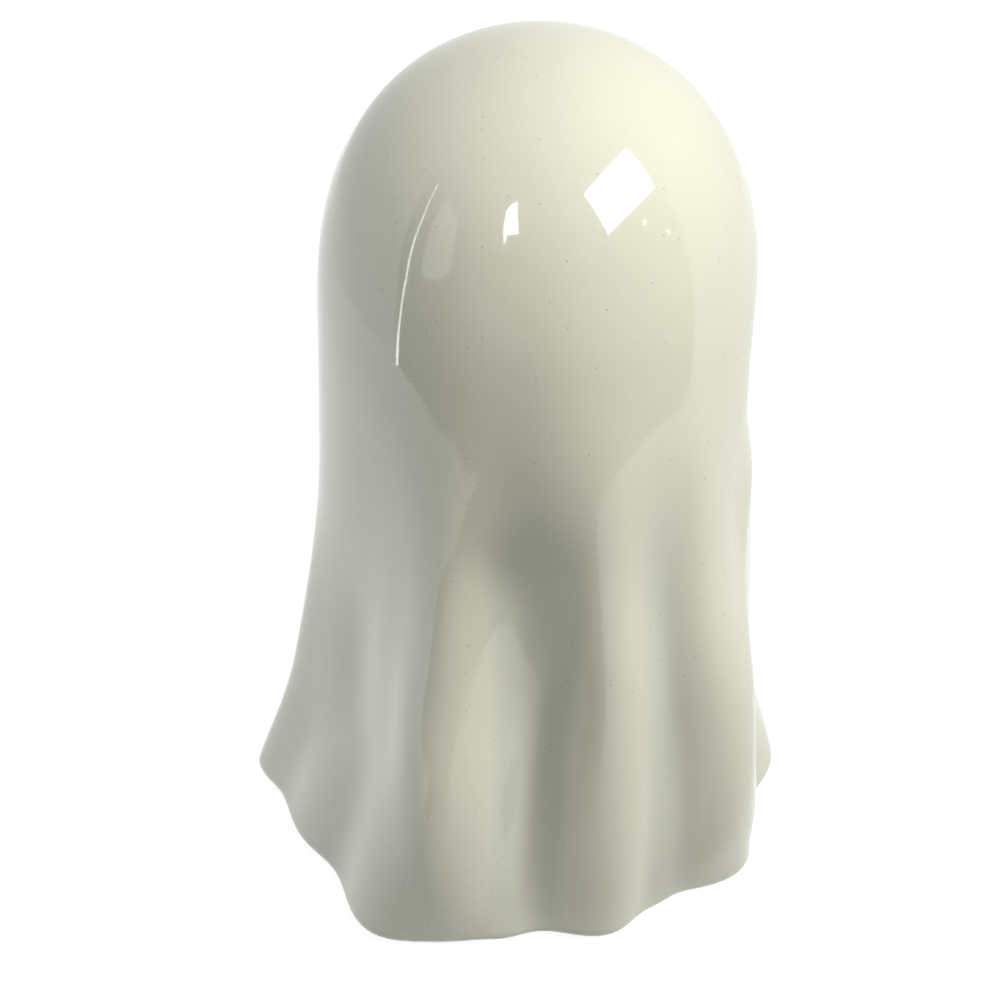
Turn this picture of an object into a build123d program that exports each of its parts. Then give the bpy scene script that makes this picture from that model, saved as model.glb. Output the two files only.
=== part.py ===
from build123d import *
import math
import os
from typing import NamedTuple

# Ceramic ghost figure: a hollow slip-cast sheet ghost with an ivory glaze, and the battery
# lamp that plugs into the pour hole in its base and shines out of its cut-out face.
# Millimetres and degrees. The table is z = 0, the face looks along -Y and the back is at +Y.

# Draped body
ghost_height = 165.0        # hem to crown
head_radius = 40.4
dome_height = 52.0          # crown down to the shoulder
dome_power = 2.6            # above 2, the dome runs into the straight sides without a crease
flare_top = 138.0           # height where the sheet starts to spread
flare_power = 1.5
hem_roll = 3.0              # rounded lower edge
wall = 4.5
inner_relief = 0.8          # share of a fold's depth that the cast wall shows inside
floor_thickness = 5.0
foot_width = 3.2            # narrowest part of the dry foot ring
crown_flat = 1.0            # radius of the flat at the very top
sheet_shift = -2.5          # body axis off the lamp's axis, so that the uneven hem stands centred

# Cut-out face
eye_half_width = 6.0
eye_half_height = 8.5
eye_spacing = 28.0
eye_height = 119.0
eye_tilt = 8.0
mouth_half_width = 6.5
mouth_half_height = 9.0
mouth_height = 94.0
cutout_round = 1.2

# Felt pads
pad_count = 4
pad_radius = 3.5
pad_proud = 0.8             # how far they hold the foot ring off the table
pad_clearance = 0.4
pad_start_angle = 45.0

# Battery cells
cell_diameter = 10.5
cell_length = 44.5
nub_diameter = 3.8
nub_height = 1.0
cell_edge = 0.6
cell_clearance = 0.4

# Battery contacts
contact_room = 1.9          # from a cell's end to the end wall of the compartment
contact_thickness = 0.4
contact_size = 7.0
contact_touch = 0.1
tail_width = 2.4
tail_rise = 1.6             # above the battery box
tail_clearance = 0.2

# Lamp housing
housing_margin = 3.0        # from the compartment's corners to the outside
housing_wall = 1.6
housing_flange_reach = 2.4
housing_flange = 1.4
plate_thickness = 3.0
box_wall = 1.2
wiring_room = 5.5           # between the battery box and the cover

# Silicone grip ring
ring_wall = 2.0
ring_rib = 0.5
ring_rib_count = 3
ring_flange = 1.0
ring_flange_reach = 2.6
ring_clearance = 0.1
hole_clearance = 0.2
seat_gap = 0.1

# Cover, its screws and the diffuser
cover_thickness = 1.6
skirt_depth = 2.0
skirt_wall = 1.2
fit_clearance = 0.15
collar_wall = 1.4
collar_height = 3.0
diffuser_radius = 10.0
diffuser_wall = 1.2
diffuser_straight = 6.0
cover_screw_angles = (90.0, 240.0, 300.0)
boss_radius = 2.4

# Screws
screw_radius = 0.9
screw_clearance = 0.1
head_radius_of_screw = 1.9
head_height = 1.2
slot_width = 0.6
slot_depth = 0.6
cover_screw_length = 7.0
door_screw_length = 3.2     # from the door's top face into its boss

# Battery door
door_thickness = 2.0
door_clearance = 0.3
hinge_pin_radius = 0.6
hinge_pin_length = 1.2
pin_clearance = 0.05
ear_radius = 4.5
ear_reach = 6.0             # screw centre beyond the side of the compartment
boss_height = 5.0

# Circuit board, LED and resistor
board_width = 28.0
board_height = 15.0
board_thickness = 1.2
board_gap = 0.9             # from the battery box
post_width = 2.4
post_height = 8.0
led_radius = 2.5
led_flange_radius = 2.9
led_flange = 1.0
led_length = 8.6
lead_radius = 0.25
lead_pitch = 2.54
lead_drop = 2.3
lead_bend = 0.8
lead_end = 0.5
resistor_radius = 1.1
resistor_length = 6.0
resistor_span = 10.0
resistor_offset = (-7.5, 4.0)   # along the board and down from its top edge
wire_radius = 0.55
wire_spots = (12.0, 7.5)        # where the red and the black wire meet the board
wire_bend = 2.8
wire_run = 8.0                  # straight run away from a contact

# Slide switch
switch_length = 8.6
switch_depth = 4.4
switch_rise = 4.6
switch_travel = 2.0
knob_length = 2.0
knob_width = 2.0
knob_recess = 0.3
shoe_length = 4.0
shoe_rise = 1.0
switch_clearance = 0.2

# Levels that follow from the sizes above
foot_z = pad_proud
housing_bottom = foot_z
plate_top = housing_bottom + plate_thickness
ring_bottom = housing_bottom + housing_flange
floor_under = ring_bottom + ring_flange + seat_gap
floor_top = floor_under + floor_thickness
door_top = housing_bottom + door_thickness
cell_axis_z = door_top + cell_clearance + cell_diameter / 2
box_ceiling = cell_axis_z + cell_diameter / 2 + cell_clearance
box_top = box_ceiling + box_wall
housing_top = box_top + wiring_room
cover_top = housing_top + cover_thickness

# Plan sizes that follow
compartment_length = cell_length + 2 * contact_room
compartment_width = 2 * cell_diameter + 3 * cell_clearance
cell_offset = (cell_diameter + cell_clearance) / 2
housing_radius = math.hypot(compartment_length / 2, compartment_width / 2) + housing_margin
housing_bore = housing_radius - housing_wall
ring_bore = housing_radius + ring_clearance
ring_radius = ring_bore + ring_wall
pour_hole_radius = ring_radius + ring_rib + hole_clearance
ring_flange_radius = pour_hole_radius + ring_flange_reach
pad_circle = ring_flange_radius + pad_clearance + pad_radius
recess_radius = pad_circle + pad_radius + pad_clearance
hem_radius = recess_radius + foot_width + hem_roll
hinge_y = compartment_width / 2 - door_clearance - door_thickness / 2
hinge_z = housing_bottom + door_thickness / 2
door_screw_y = -(compartment_width / 2 + ear_reach)
board_front = compartment_width / 2 + box_wall + board_gap
board_back = board_front + board_thickness
board_top = plate_top + board_height
switch_y = board_back + contact_touch + switch_depth / 2
switch_bottom = plate_top + switch_clearance
led_base = housing_top - contact_touch - led_flange
lead_level = led_base - lead_drop


class Fold(NamedTuple):
    """One ridge of the draped sheet."""

    angle: float    # from +X towards the back, at the hem
    lean: float     # turn between the hem and the crown
    spread: float   # half width of the ridge
    depth: float    # how far it stands out
    top: float      # height where it has died away
    full: float     # height where it has its whole depth, below 0 if it still grows at the hem


class Hollow(NamedTuple):
    """A place where the sheet falls in between the ridges, or swells if its depth is below 0."""

    angle: float
    spread: float
    height: float
    reach: float
    depth: float


# The first eight ridges are those of the back and sides, the others go round the front.
folds = (
    Fold(-1.0, -1.0, 8.5, 6.7, 83.0, -11.0),
    Fold(6.5, 28.0, 24.7, 6.3, 30.0, -11.5),
    Fold(28.0, 25.0, 12.2, 3.2, 36.5, 13.0),
    Fold(58.5, 37.5, 14.9, 11.2, 120.0, 7.5),
    Fold(79.5, -22.5, 10.3, 4.2, 120.0, 25.5),
    Fold(108.0, -6.5, 13.4, 6.7, 120.0, 60.0),
    Fold(143.5, -30.5, 15.0, 9.2, 120.0, 49.5),
    Fold(185.0, 34.0, 16.5, 8.2, 35.0, -8.5),
    Fold(219.0, 6.0, 15.0, 6.5, 84.0, 6.0),
    Fold(247.0, -6.0, 12.0, 5.0, 72.0, 4.0),
    Fold(273.0, 4.0, 12.0, 6.4, 70.0, 2.0),
    Fold(300.0, 10.0, 13.0, 6.0, 78.0, 6.0),
    Fold(332.0, -8.0, 14.0, 6.5, 86.0, 4.0),
)
hollows = (
    Hollow(137.5, 45.0, 0.0, 14.0, 3.6),
    Hollow(83.0, 11.0, 76.0, 44.0, 1.9),
    Hollow(117.0, 10.0, 78.0, 26.5, 2.6),
    Hollow(174.5, 14.0, 104.0, 15.0, 3.6),
    Hollow(34.0, 24.0, 60.0, 36.5, 3.6),
    Hollow(103.0, 45.0, 108.0, 28.0, -4.2),
)
section_points = 72
body_sections = 11
oval_points = 16
hem_angles = (0.0, 35.0, 65.0)
dome_angles = (12.0, 25.0, 38.0, 50.0, 61.0, 71.0, 80.0, 85.5)


def ease(share):
    """Smooth step from 0 to 1."""
    held = min(max(share, 0.0), 1.0)
    return held * held * (3.0 - 2.0 * held)


def turn_between(angle, other):
    """Signed angle from one direction to another, within half a turn."""
    return (angle - other + 180.0) % 360.0 - 180.0


def drape(angle, height, relief):
    """How far the folds move the sheet in or out at an angle and a height above the hem."""
    out = 0.0
    for fold in folds:
        off = turn_between(angle, fold.angle + fold.lean * height / ghost_height)
        grown = ease((fold.top - height) / (fold.top - fold.full))
        out += fold.depth * grown * math.exp(-((off / fold.spread) ** 2))
    for hollow in hollows:
        off = turn_between(angle, hollow.angle)
        away = (height - hollow.height) / hollow.reach
        out -= hollow.depth * math.exp(-((off / hollow.spread) ** 2) - away**2)
    return out * relief


def plain_radius(height, inset):
    """Radius of the body without folds, a dome that spreads towards the hem."""
    shoulder = ghost_height - dome_height
    rise = max(height - shoulder, 0.0) / (dome_height - inset)
    dome = (head_radius - inset) * math.sqrt(max(1.0 - rise**dome_power, 0.0))
    spread = max(1.0 - height / flare_top, 0.0) ** flare_power
    return dome + (hem_radius - head_radius) * spread


def section(height, inset, relief, hem_inset=0.0):
    """Closed outline of the draped sheet at one height above the hem."""
    points = []
    for step in range(section_points):
        angle = 360.0 * step / section_points
        radius = plain_radius(height, inset) + drape(angle, height, relief) - hem_inset
        direction = math.radians(angle)
        x = sheet_shift + radius * math.cos(direction)
        points.append((x, radius * math.sin(direction), foot_z + height))
    knots = [step / section_points for step in range(section_points + 1)]
    return Wire([Edge.make_spline(points, periodic=True, parameters=knots)])


def dome_heights(inset):
    """Heights of the dome's sections, closer together towards the crown."""
    shoulder = ghost_height - dome_height
    last = math.degrees(math.acos(crown_flat / (head_radius - inset)))
    angles = dome_angles + (last,)
    rises = [math.sin(math.radians(angle)) ** (2.0 / dome_power) for angle in angles]
    return [shoulder + (dome_height - inset) * rise for rise in rises]


def body_heights(start):
    """Heights of the straight body's sections, from a start up to the shoulder."""
    shoulder = ghost_height - dome_height
    return [start + (shoulder - start) * step / body_sections for step in range(body_sections + 1)]


def ghost_outside():
    """Solid with the outer form of the ghost, hem roll included."""
    sections = []
    for angle in hem_angles:
        rolled = math.radians(angle)
        hem_inset = hem_roll * (1.0 - math.sin(rolled))
        sections.append(section(hem_roll * (1.0 - math.cos(rolled)), 0.0, 1.0, hem_inset))
    for height in body_heights(hem_roll) + dome_heights(0.0):
        sections.append(section(height, 0.0, 1.0))
    return Solid.make_loft(sections)


def ghost_inside():
    """Solid that fills the hollow of the ghost above its floor."""
    sections = []
    for height in body_heights(floor_top - foot_z) + dome_heights(wall):
        sections.append(section(height, wall, inner_relief))
    return Solid.make_loft(sections)


def oval(half_width, half_height):
    """Flat oval face, as a soft knife cuts it."""
    points = []
    for step in range(oval_points):
        turn = 2.0 * math.pi * step / oval_points
        points.append((half_width * math.cos(turn), half_height * math.sin(turn), 0.0))
    knots = [step / oval_points for step in range(oval_points + 1)]
    return Face(Wire([Edge.make_spline(points, periodic=True, parameters=knots)]))


def face_cutter(x, height, half_width, half_height, tilt):
    """Oval prism that opens the front wall."""
    start = (sheet_shift + x, -hem_radius, foot_z + height)
    front = Plane(origin=start, x_dir=(1, 0, 0), z_dir=(0, 1, 0))
    return front * Rot(0, 0, tilt) * extrude(oval(half_width, half_height), hem_radius)


def upright(radius, low, high, x=0.0, y=0.0):
    """Cylinder between two levels."""
    return Pos(x, y, (low + high) / 2) * Cylinder(radius, high - low)


def block(x_low, x_high, y_low, y_high, z_low, z_high):
    """Box between pairs of limits."""
    centre = ((x_low + x_high) / 2, (y_low + y_high) / 2, (z_low + z_high) / 2)
    return Pos(*centre) * Box(x_high - x_low, y_high - y_low, z_high - z_low)


def around(radius, count, start):
    """Places of a ring pattern."""
    return [(radius * math.cos(math.radians(start + 360.0 * step / count)),
             radius * math.sin(math.radians(start + 360.0 * step / count))) for step in range(count)]


def face_cutters():
    """The two eyes and the mouth."""
    half = eye_spacing / 2
    return [
        face_cutter(half, eye_height, eye_half_width, eye_half_height, eye_tilt),
        face_cutter(-half, eye_height, eye_half_width, eye_half_height, -eye_tilt),
        face_cutter(0.0, mouth_height, mouth_half_width, mouth_half_height, 0.0),
    ]


def ghost_shell():
    """The cast ghost: folds outside and in, floor with its pour hole, foot ring and face."""
    body = ghost_outside() - face_cutters()
    body = fillet([edge for edge in body.edges() if is_cutout_rim(edge)], cutout_round)
    body -= ghost_inside()
    body -= upright(recess_radius, 0.0, floor_under)
    return body - upright(pour_hole_radius, 0.0, floor_top + floor_thickness)


def is_cutout_rim(edge):
    """Whether an edge is the outer rim of an eye or of the mouth."""
    box = edge.bounding_box()
    above_mouth_foot = box.min.Z > foot_z + mouth_height - mouth_half_height - cutout_round
    return edge.is_closed and above_mouth_foot and box.max.Y < -wall


def felt_pads():
    """Four discs that stand a little proud of the foot ring."""
    places = around(pad_circle, pad_count, pad_start_angle)
    return Compound(children=[upright(pad_radius, 0.0, floor_under, *place) for place in places])


def cover_screw_places():
    """Centres of the cover's screws, just inside the skirt."""
    radius = housing_bore - fit_clearance - skirt_wall - boss_radius - fit_clearance
    return [(radius * math.cos(math.radians(angle)), radius * math.sin(math.radians(angle)))
            for angle in cover_screw_angles]


def door_outline(margin):
    """Flat outline of the battery door with its screw ear, grown by a margin."""
    half_length = compartment_length / 2 - door_clearance + margin
    low = -(compartment_width / 2 - door_clearance + margin)
    plate = Pos(0, (low + hinge_y) / 2) * Rectangle(2 * half_length, hinge_y - low)
    neck = Pos(0, (low + door_screw_y) / 2) * Rectangle(2 * (ear_radius + margin), low - door_screw_y)
    return plate + neck + Pos(0, door_screw_y) * Circle(ear_radius + margin)


def swing_room():
    """How far the tip of the door's screw moves sideways as the door swings."""
    arm = hinge_y - door_screw_y
    tip = door_screw_length + door_thickness / 2
    return math.hypot(arm, tip) - arm


def light_housing():
    """Tub of the lamp: bottom plate with the battery box, bosses, board posts and openings."""
    half_length = compartment_length / 2
    half_width = compartment_width / 2
    tub = upright(housing_radius, housing_bottom, housing_top)
    tub += upright(housing_radius + housing_flange_reach, housing_bottom, housing_bottom + housing_flange)
    tub -= upright(housing_bore, plate_top, housing_top)
    box = block(-half_length - box_wall, half_length + box_wall,
                -half_width - box_wall, half_width + box_wall, housing_bottom, box_top)
    tub += box & upright(housing_radius, housing_bottom, box_top)
    for place in cover_screw_places():
        tub += upright(boss_radius, plate_top, housing_top, *place)
        tub -= upright(screw_radius + screw_clearance, box_top - cover_screw_length, housing_top, *place)
    boss_top = door_top + boss_height
    tub += upright(ear_radius - housing_wall, plate_top, boss_top, 0.0, door_screw_y)
    tub -= block(-half_length, half_length, -half_width, half_width, housing_bottom, box_ceiling)
    tub -= Pos(0, 0, housing_bottom) * extrude(door_outline(door_clearance), door_thickness + seat_gap)
    boss_hole = screw_radius + swing_room() + screw_clearance
    tub -= upright(boss_hole, door_top, door_top + door_screw_length + door_clearance, 0.0, door_screw_y)
    socket_reach = half_length + hinge_pin_length + pin_clearance
    axis = Pos(0, hinge_y, hinge_z) * Rot(0, 90, 0)
    tub -= axis * Cylinder(hinge_pin_radius + pin_clearance, 2 * socket_reach)
    tub += board_posts()
    slot_half = (knob_length + switch_travel) / 2 + door_clearance
    knob_half = knob_width / 2 + door_clearance
    tub -= block(-slot_half, slot_half, switch_y - knob_half, switch_y + knob_half,
                 housing_bottom, plate_top)
    for side in (-1, 1):
        tub -= tail_slot(side * cell_offset)
    return tub


def board_posts():
    """Two slotted posts that hold the ends of the circuit board."""
    posts = []
    for side in (-1, 1):
        centre = side * (board_width / 2 + switch_clearance)
        post = block(centre - post_width / 2, centre + post_width / 2, board_front - box_wall,
                     board_back + box_wall, plate_top, plate_top + post_height)
        posts.append(post)
    slot = block(-board_width / 2 - switch_clearance, board_width / 2 + switch_clearance,
                 board_front - fit_clearance, board_back + fit_clearance,
                 plate_top, plate_top + post_height)
    return [post - slot for post in posts]


def tail_slot(y):
    """Slot in the ceiling of the battery box for a contact's tail."""
    end = compartment_length / 2
    half = tail_width / 2 + tail_clearance
    return block(end - contact_thickness - tail_clearance, end, y - half, y + half, box_ceiling, box_top)


def grip_ring():
    """Silicone sleeve with ribs that hold the lamp in the pour hole."""
    height = floor_top - ring_bottom
    body = upright(ring_radius, ring_bottom, floor_top) + upright(
        ring_flange_radius, ring_bottom, ring_bottom + ring_flange)
    pitch = floor_thickness / (ring_rib_count + 1)
    for step in range(ring_rib_count):
        level = floor_under + pitch * (step + 1)
        body += Pos(0, 0, level) * Torus(ring_radius, ring_rib)
    return body - Pos(0, 0, ring_bottom + height / 2) * Cylinder(ring_bore, height)


def lamp_cover():
    """Lid of the tub with a skirt, the diffuser's collar and the hole for the LED."""
    cover = upright(housing_radius, housing_top, cover_top)
    skirt_radius = housing_bore - fit_clearance
    skirt = upright(skirt_radius, housing_top - skirt_depth, housing_top)
    skirt -= upright(skirt_radius - skirt_wall, housing_top - skirt_depth, housing_top)
    collar_bore = diffuser_radius + fit_clearance
    collar = upright(collar_bore + collar_wall, cover_top, cover_top + collar_height)
    collar -= upright(collar_bore, cover_top, cover_top + collar_height)
    cover = cover + skirt + collar
    cover -= upright(led_radius + fit_clearance, housing_top, cover_top)
    for place in cover_screw_places():
        cover -= upright(screw_radius + screw_clearance, housing_top, cover_top, *place)
    return cover


def screw(under_head, length, facing, x, y):
    """Slotted screw with its head's seat at a level, the head above (1) or below (-1)."""
    head_low, head_high = sorted((under_head, under_head + facing * head_height))
    shank_low, shank_high = sorted((under_head, under_head - facing * length))
    body = upright(head_radius_of_screw, head_low, head_high, x, y)
    body += upright(screw_radius, shank_low, shank_high, x, y)
    face = under_head + facing * head_height
    low, high = sorted((face, face - facing * slot_depth))
    return body - block(x - head_radius_of_screw, x + head_radius_of_screw,
                        y - slot_width / 2, y + slot_width / 2, low, high)


def cover_screws():
    """Three screws that hold the cover on the tub."""
    places = cover_screw_places()
    return Compound(children=[screw(cover_top, cover_screw_length, 1, *place) for place in places])


def light_diffuser():
    """Frosted bell over the LED."""
    outside = upright(diffuser_radius, cover_top, cover_top + diffuser_straight)
    outside += Pos(0, 0, cover_top + diffuser_straight) * Sphere(diffuser_radius)
    inner = diffuser_radius - diffuser_wall
    inside = upright(inner, cover_top, cover_top + diffuser_straight)
    inside += Pos(0, 0, cover_top + diffuser_straight) * Sphere(inner)
    bell = outside - inside
    return bell - upright(2 * diffuser_radius, cover_top - 2 * diffuser_radius, cover_top)


def led():
    """Round LED with its base flange under the cover."""
    lens_base = led_base + led_length - led_radius
    body = upright(led_flange_radius, led_base, led_base + led_flange)
    body += upright(led_radius, led_base, lens_base)
    return body + Pos(0, 0, lens_base) * Sphere(led_radius)


def bent_rod(points, bend, radius):
    """Round wire along straight runs with arcs at the corners."""
    path = FilletPolyline(*points, radius=bend)
    start = Plane(origin=path @ 0, z_dir=path % 0)
    return sweep(start * Circle(radius), path)


def led_leads():
    """The LED's two legs, bent over to the circuit board."""
    legs = []
    for side in (-1, 1):
        x = side * lead_pitch / 2
        end = board_back + lead_end
        points = [(x, 0, led_base), (x, 0, lead_level), (x, end, lead_level)]
        legs.append(bent_rod(points, lead_bend, lead_radius))
    return Compound(children=legs)


def circuit_board():
    """Upright board in the posts, with holes for the LED and the resistor."""
    half = board_width / 2
    board = block(-half, half, board_front, board_back, plate_top, board_top)
    middle = (board_front + board_back) / 2
    hole = Rot(90, 0, 0) * Cylinder(lead_radius + fit_clearance, 2 * board_thickness)
    for side in (-1, 1):
        board -= Pos(side * lead_pitch / 2, middle, lead_level) * hole
        x = resistor_offset[0] + side * resistor_span / 2
        board -= Pos(x, middle, board_top - resistor_offset[1]) * hole
    return board


def series_resistor():
    """Resistor on the back of the board, its legs through the board."""
    x = resistor_offset[0]
    y = board_back + resistor_radius + contact_touch
    z = board_top - resistor_offset[1]
    body = Pos(x, y, z) * Rot(0, 90, 0) * Cylinder(resistor_radius, resistor_length)
    half = resistor_span / 2
    through = board_front - lead_end
    points = [(x - half, through, z), (x - half, y, z), (x + half, y, z), (x + half, through, z)]
    return body + bent_rod(points, lead_bend, lead_radius)


def switch_body():
    """Case of the slide switch, with the channel for its slider underneath."""
    half = switch_length / 2
    case = block(-half, half, switch_y - switch_depth / 2, switch_y + switch_depth / 2,
                 switch_bottom, switch_bottom + switch_rise)
    channel_half = (shoe_length + switch_travel) / 2 + switch_clearance
    width_half = knob_width / 2 + switch_clearance
    return case - block(-channel_half, channel_half, switch_y - width_half, switch_y + width_half,
                        switch_bottom, switch_bottom + shoe_rise + 2 * switch_clearance)


def switch_slider():
    """Knob and shoe of the slide switch, at its off end."""
    centre = -switch_travel / 2
    shoe_low = switch_bottom + switch_clearance
    shoe = block(centre - shoe_length / 2, centre + shoe_length / 2, switch_y - knob_width / 2,
                 switch_y + knob_width / 2, shoe_low, shoe_low + shoe_rise)
    knob = block(centre - knob_length / 2, centre + knob_length / 2, switch_y - knob_width / 2,
                 switch_y + knob_width / 2, housing_bottom + knob_recess, shoe_low)
    return shoe + knob


def battery_door():
    """Door of the battery box: rounded hinge edge with two end pins, and an ear for its screw."""
    half_length = compartment_length / 2 - door_clearance
    door = Pos(0, 0, housing_bottom) * extrude(door_outline(0.0), door_thickness)
    axis = Pos(0, hinge_y, hinge_z) * Rot(0, 90, 0)
    door += axis * Cylinder(door_thickness / 2, 2 * half_length)
    door += axis * Cylinder(hinge_pin_radius, compartment_length + 2 * hinge_pin_length)
    seat = door_screw_seat()
    door -= upright(head_radius_of_screw + screw_clearance, housing_bottom, seat, 0.0, door_screw_y)
    door -= upright(screw_radius + screw_clearance, housing_bottom, door_top, 0.0, door_screw_y)
    return door


def door_screw_seat():
    """Level of the counterbore's floor in the door's ear."""
    return housing_bottom + head_height + screw_clearance


def door_screw():
    """Captive screw of the battery door."""
    under_head = door_screw_seat()
    return screw(under_head, door_top - under_head + door_screw_length, -1, 0.0, door_screw_y)


def battery(y, facing):
    """One cell lying along X with its nub towards +X (1) or -X (-1)."""
    can = Cylinder(cell_diameter / 2, cell_length - nub_height)
    can = fillet(can.edges().filter_by(GeomType.CIRCLE), cell_edge)
    can = Pos(0, 0, -nub_height / 2) * can
    nub = Pos(0, 0, (cell_length - nub_height) / 2) * Cylinder(nub_diameter / 2, nub_height)
    return Pos(0, y, cell_axis_z) * Rot(0, 90 * facing, 0) * (can + nub)


def contact_plate(y_low, y_high, side):
    """Sheet metal plate against an end wall of the battery compartment."""
    wall_x = side * compartment_length / 2
    inner_x = wall_x - side * contact_thickness
    low, high = sorted((wall_x, inner_x))
    half = contact_size / 2
    return block(low, high, y_low, y_high, cell_axis_z - half, cell_axis_z + half)


def dimple(y, side):
    """Pressed bump that meets a cell's nub."""
    reach = contact_room - contact_thickness - contact_touch
    wide = nub_diameter / 2
    centre = side * (compartment_length / 2 - contact_thickness - reach / 2)
    return Pos(centre, y, cell_axis_z) * Rot(0, -90 * side, 0) * Cone(wide, wide / 2, reach)


def leaf(y, side):
    """Bowed spring strip that meets a cell's flat end."""
    reach = contact_room - contact_thickness - contact_touch
    half = contact_size / 2
    outer = ThreePointArc((0, -half), (reach, 0), (0, half))
    inner = ThreePointArc((0, half - contact_thickness), (reach - contact_thickness, 0),
                          (0, contact_thickness - half))
    ends = [Line((0, half), (0, half - contact_thickness)), Line((0, contact_thickness - half), (0, -half))]
    strip = extrude(make_face([outer, ends[0], inner, ends[1]]), tail_width, both=True)
    base = side * (compartment_length / 2 - contact_thickness)
    front = Plane(origin=(base, y, cell_axis_z), x_dir=(-side, 0, 0), z_dir=(0, side, 0))
    return front * strip


def tail(y):
    """Strip that carries a contact up through the ceiling of the battery box."""
    end = compartment_length / 2
    low = cell_axis_z + contact_size / 2
    half = tail_width / 2
    return block(end - contact_thickness, end, y - half, y + half, low, box_top + tail_rise)


def positive_contact():
    """Plate with a dimple for the rear cell's nub, and its tail."""
    half = contact_size / 2
    plate = contact_plate(cell_offset - half, cell_offset + half, 1)
    return plate + dimple(cell_offset, 1) + tail(cell_offset)


def negative_contact():
    """Plate with a leaf for the front cell's flat end, and its tail."""
    half = contact_size / 2
    plate = contact_plate(-cell_offset - half, -cell_offset + half, 1)
    return plate + leaf(-cell_offset, 1) + tail(-cell_offset)


def bridge_contact():
    """Plate that joins the two cells at the other end."""
    half = cell_offset + contact_size / 2
    return contact_plate(-half, half, -1) + dimple(-cell_offset, -1) + leaf(cell_offset, -1)


def battery_wire(y, spot):
    """Insulated wire from a contact's tail over the battery box to the board."""
    level = box_top + tail_rise - wire_radius
    start = compartment_length / 2 - contact_thickness - contact_touch
    first = start - wire_run
    middle = (y + board_front) / 2
    points = [(start, y, level), (first, y, level), (spot, middle, level),
              (spot, board_front - contact_touch, level)]
    return bent_rod(points, wire_bend, wire_radius)


def main():
    """Build every piece and write it under its own name."""
    pieces = {
        "ghost_shell": ghost_shell(),
        "felt_pads": felt_pads(),
        "light_housing": light_housing(),
        "grip_ring": grip_ring(),
        "lamp_cover": lamp_cover(),
        "cover_screws": cover_screws(),
        "light_diffuser": light_diffuser(),
        "led": led(),
        "led_leads": led_leads(),
        "circuit_board": circuit_board(),
        "series_resistor": series_resistor(),
        "switch_body": switch_body(),
        "switch_slider": switch_slider(),
        "battery_door": battery_door(),
        "door_screw": door_screw(),
        "battery_rear": battery(cell_offset, 1),
        "battery_front": battery(-cell_offset, -1),
        "positive_contact": positive_contact(),
        "negative_contact": negative_contact(),
        "bridge_contact": bridge_contact(),
        "red_wire": battery_wire(cell_offset, wire_spots[0]),
        "black_wire": battery_wire(-cell_offset, wire_spots[1]),
    }
    os.makedirs("parts", exist_ok=True)
    for name, piece in pieces.items():
        export_step(piece, f"parts/{name}.step")


main()
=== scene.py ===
"""Looks of a ceramic ghost figure: its glaze, felt pads and battery lamp, and the studio round it."""

import logging
import math
from dataclasses import dataclass
from enum import Enum
from typing import Any, Dict, List, Mapping, Optional, Sequence, Set, Tuple, Union

import bmesh
import bpy
import numpy as np
from mathutils import Matrix, Vector

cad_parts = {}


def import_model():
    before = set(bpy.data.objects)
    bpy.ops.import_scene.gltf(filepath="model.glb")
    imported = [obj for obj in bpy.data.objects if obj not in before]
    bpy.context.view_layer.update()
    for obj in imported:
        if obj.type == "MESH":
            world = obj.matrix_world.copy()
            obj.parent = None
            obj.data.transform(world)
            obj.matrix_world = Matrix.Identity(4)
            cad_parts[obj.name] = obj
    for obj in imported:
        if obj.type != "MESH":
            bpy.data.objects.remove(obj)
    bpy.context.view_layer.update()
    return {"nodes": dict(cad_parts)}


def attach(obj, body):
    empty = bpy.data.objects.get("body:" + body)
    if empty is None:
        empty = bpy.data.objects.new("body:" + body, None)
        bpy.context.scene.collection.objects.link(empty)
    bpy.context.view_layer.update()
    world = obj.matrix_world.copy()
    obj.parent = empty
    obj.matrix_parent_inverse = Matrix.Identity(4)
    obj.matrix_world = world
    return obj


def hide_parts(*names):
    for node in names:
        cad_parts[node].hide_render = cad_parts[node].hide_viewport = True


LOG = logging.getLogger("ghost_figure")
MM = 0.001
HALF_TURN = 180.0
FULL_TURN = 360.0
FRONT = 270.0

Pair = Tuple[float, float]
Triple = Tuple[float, float, float]
Colour = Tuple[float, float, float]
Tint = Union[Colour, bpy.types.NodeSocket]
Number = Union[float, "Value"]
Inputs = Mapping[Union[str, int], Any]
Faces = Sequence[Tuple[int, ...]]

EVEN: Triple = (1.0, 1.0, 1.0)
WHITE: Colour = (1.0, 1.0, 1.0)


def shaded(colour: Colour, share: float) -> Colour:
    """A colour at a share of its brightness."""
    return tuple(part * share for part in colour)


def wrapped(angle: np.ndarray) -> np.ndarray:
    """Angles in degrees, brought between half a turn back and half a turn on."""
    return (angle + HALF_TURN) % FULL_TURN - HALF_TURN


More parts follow.
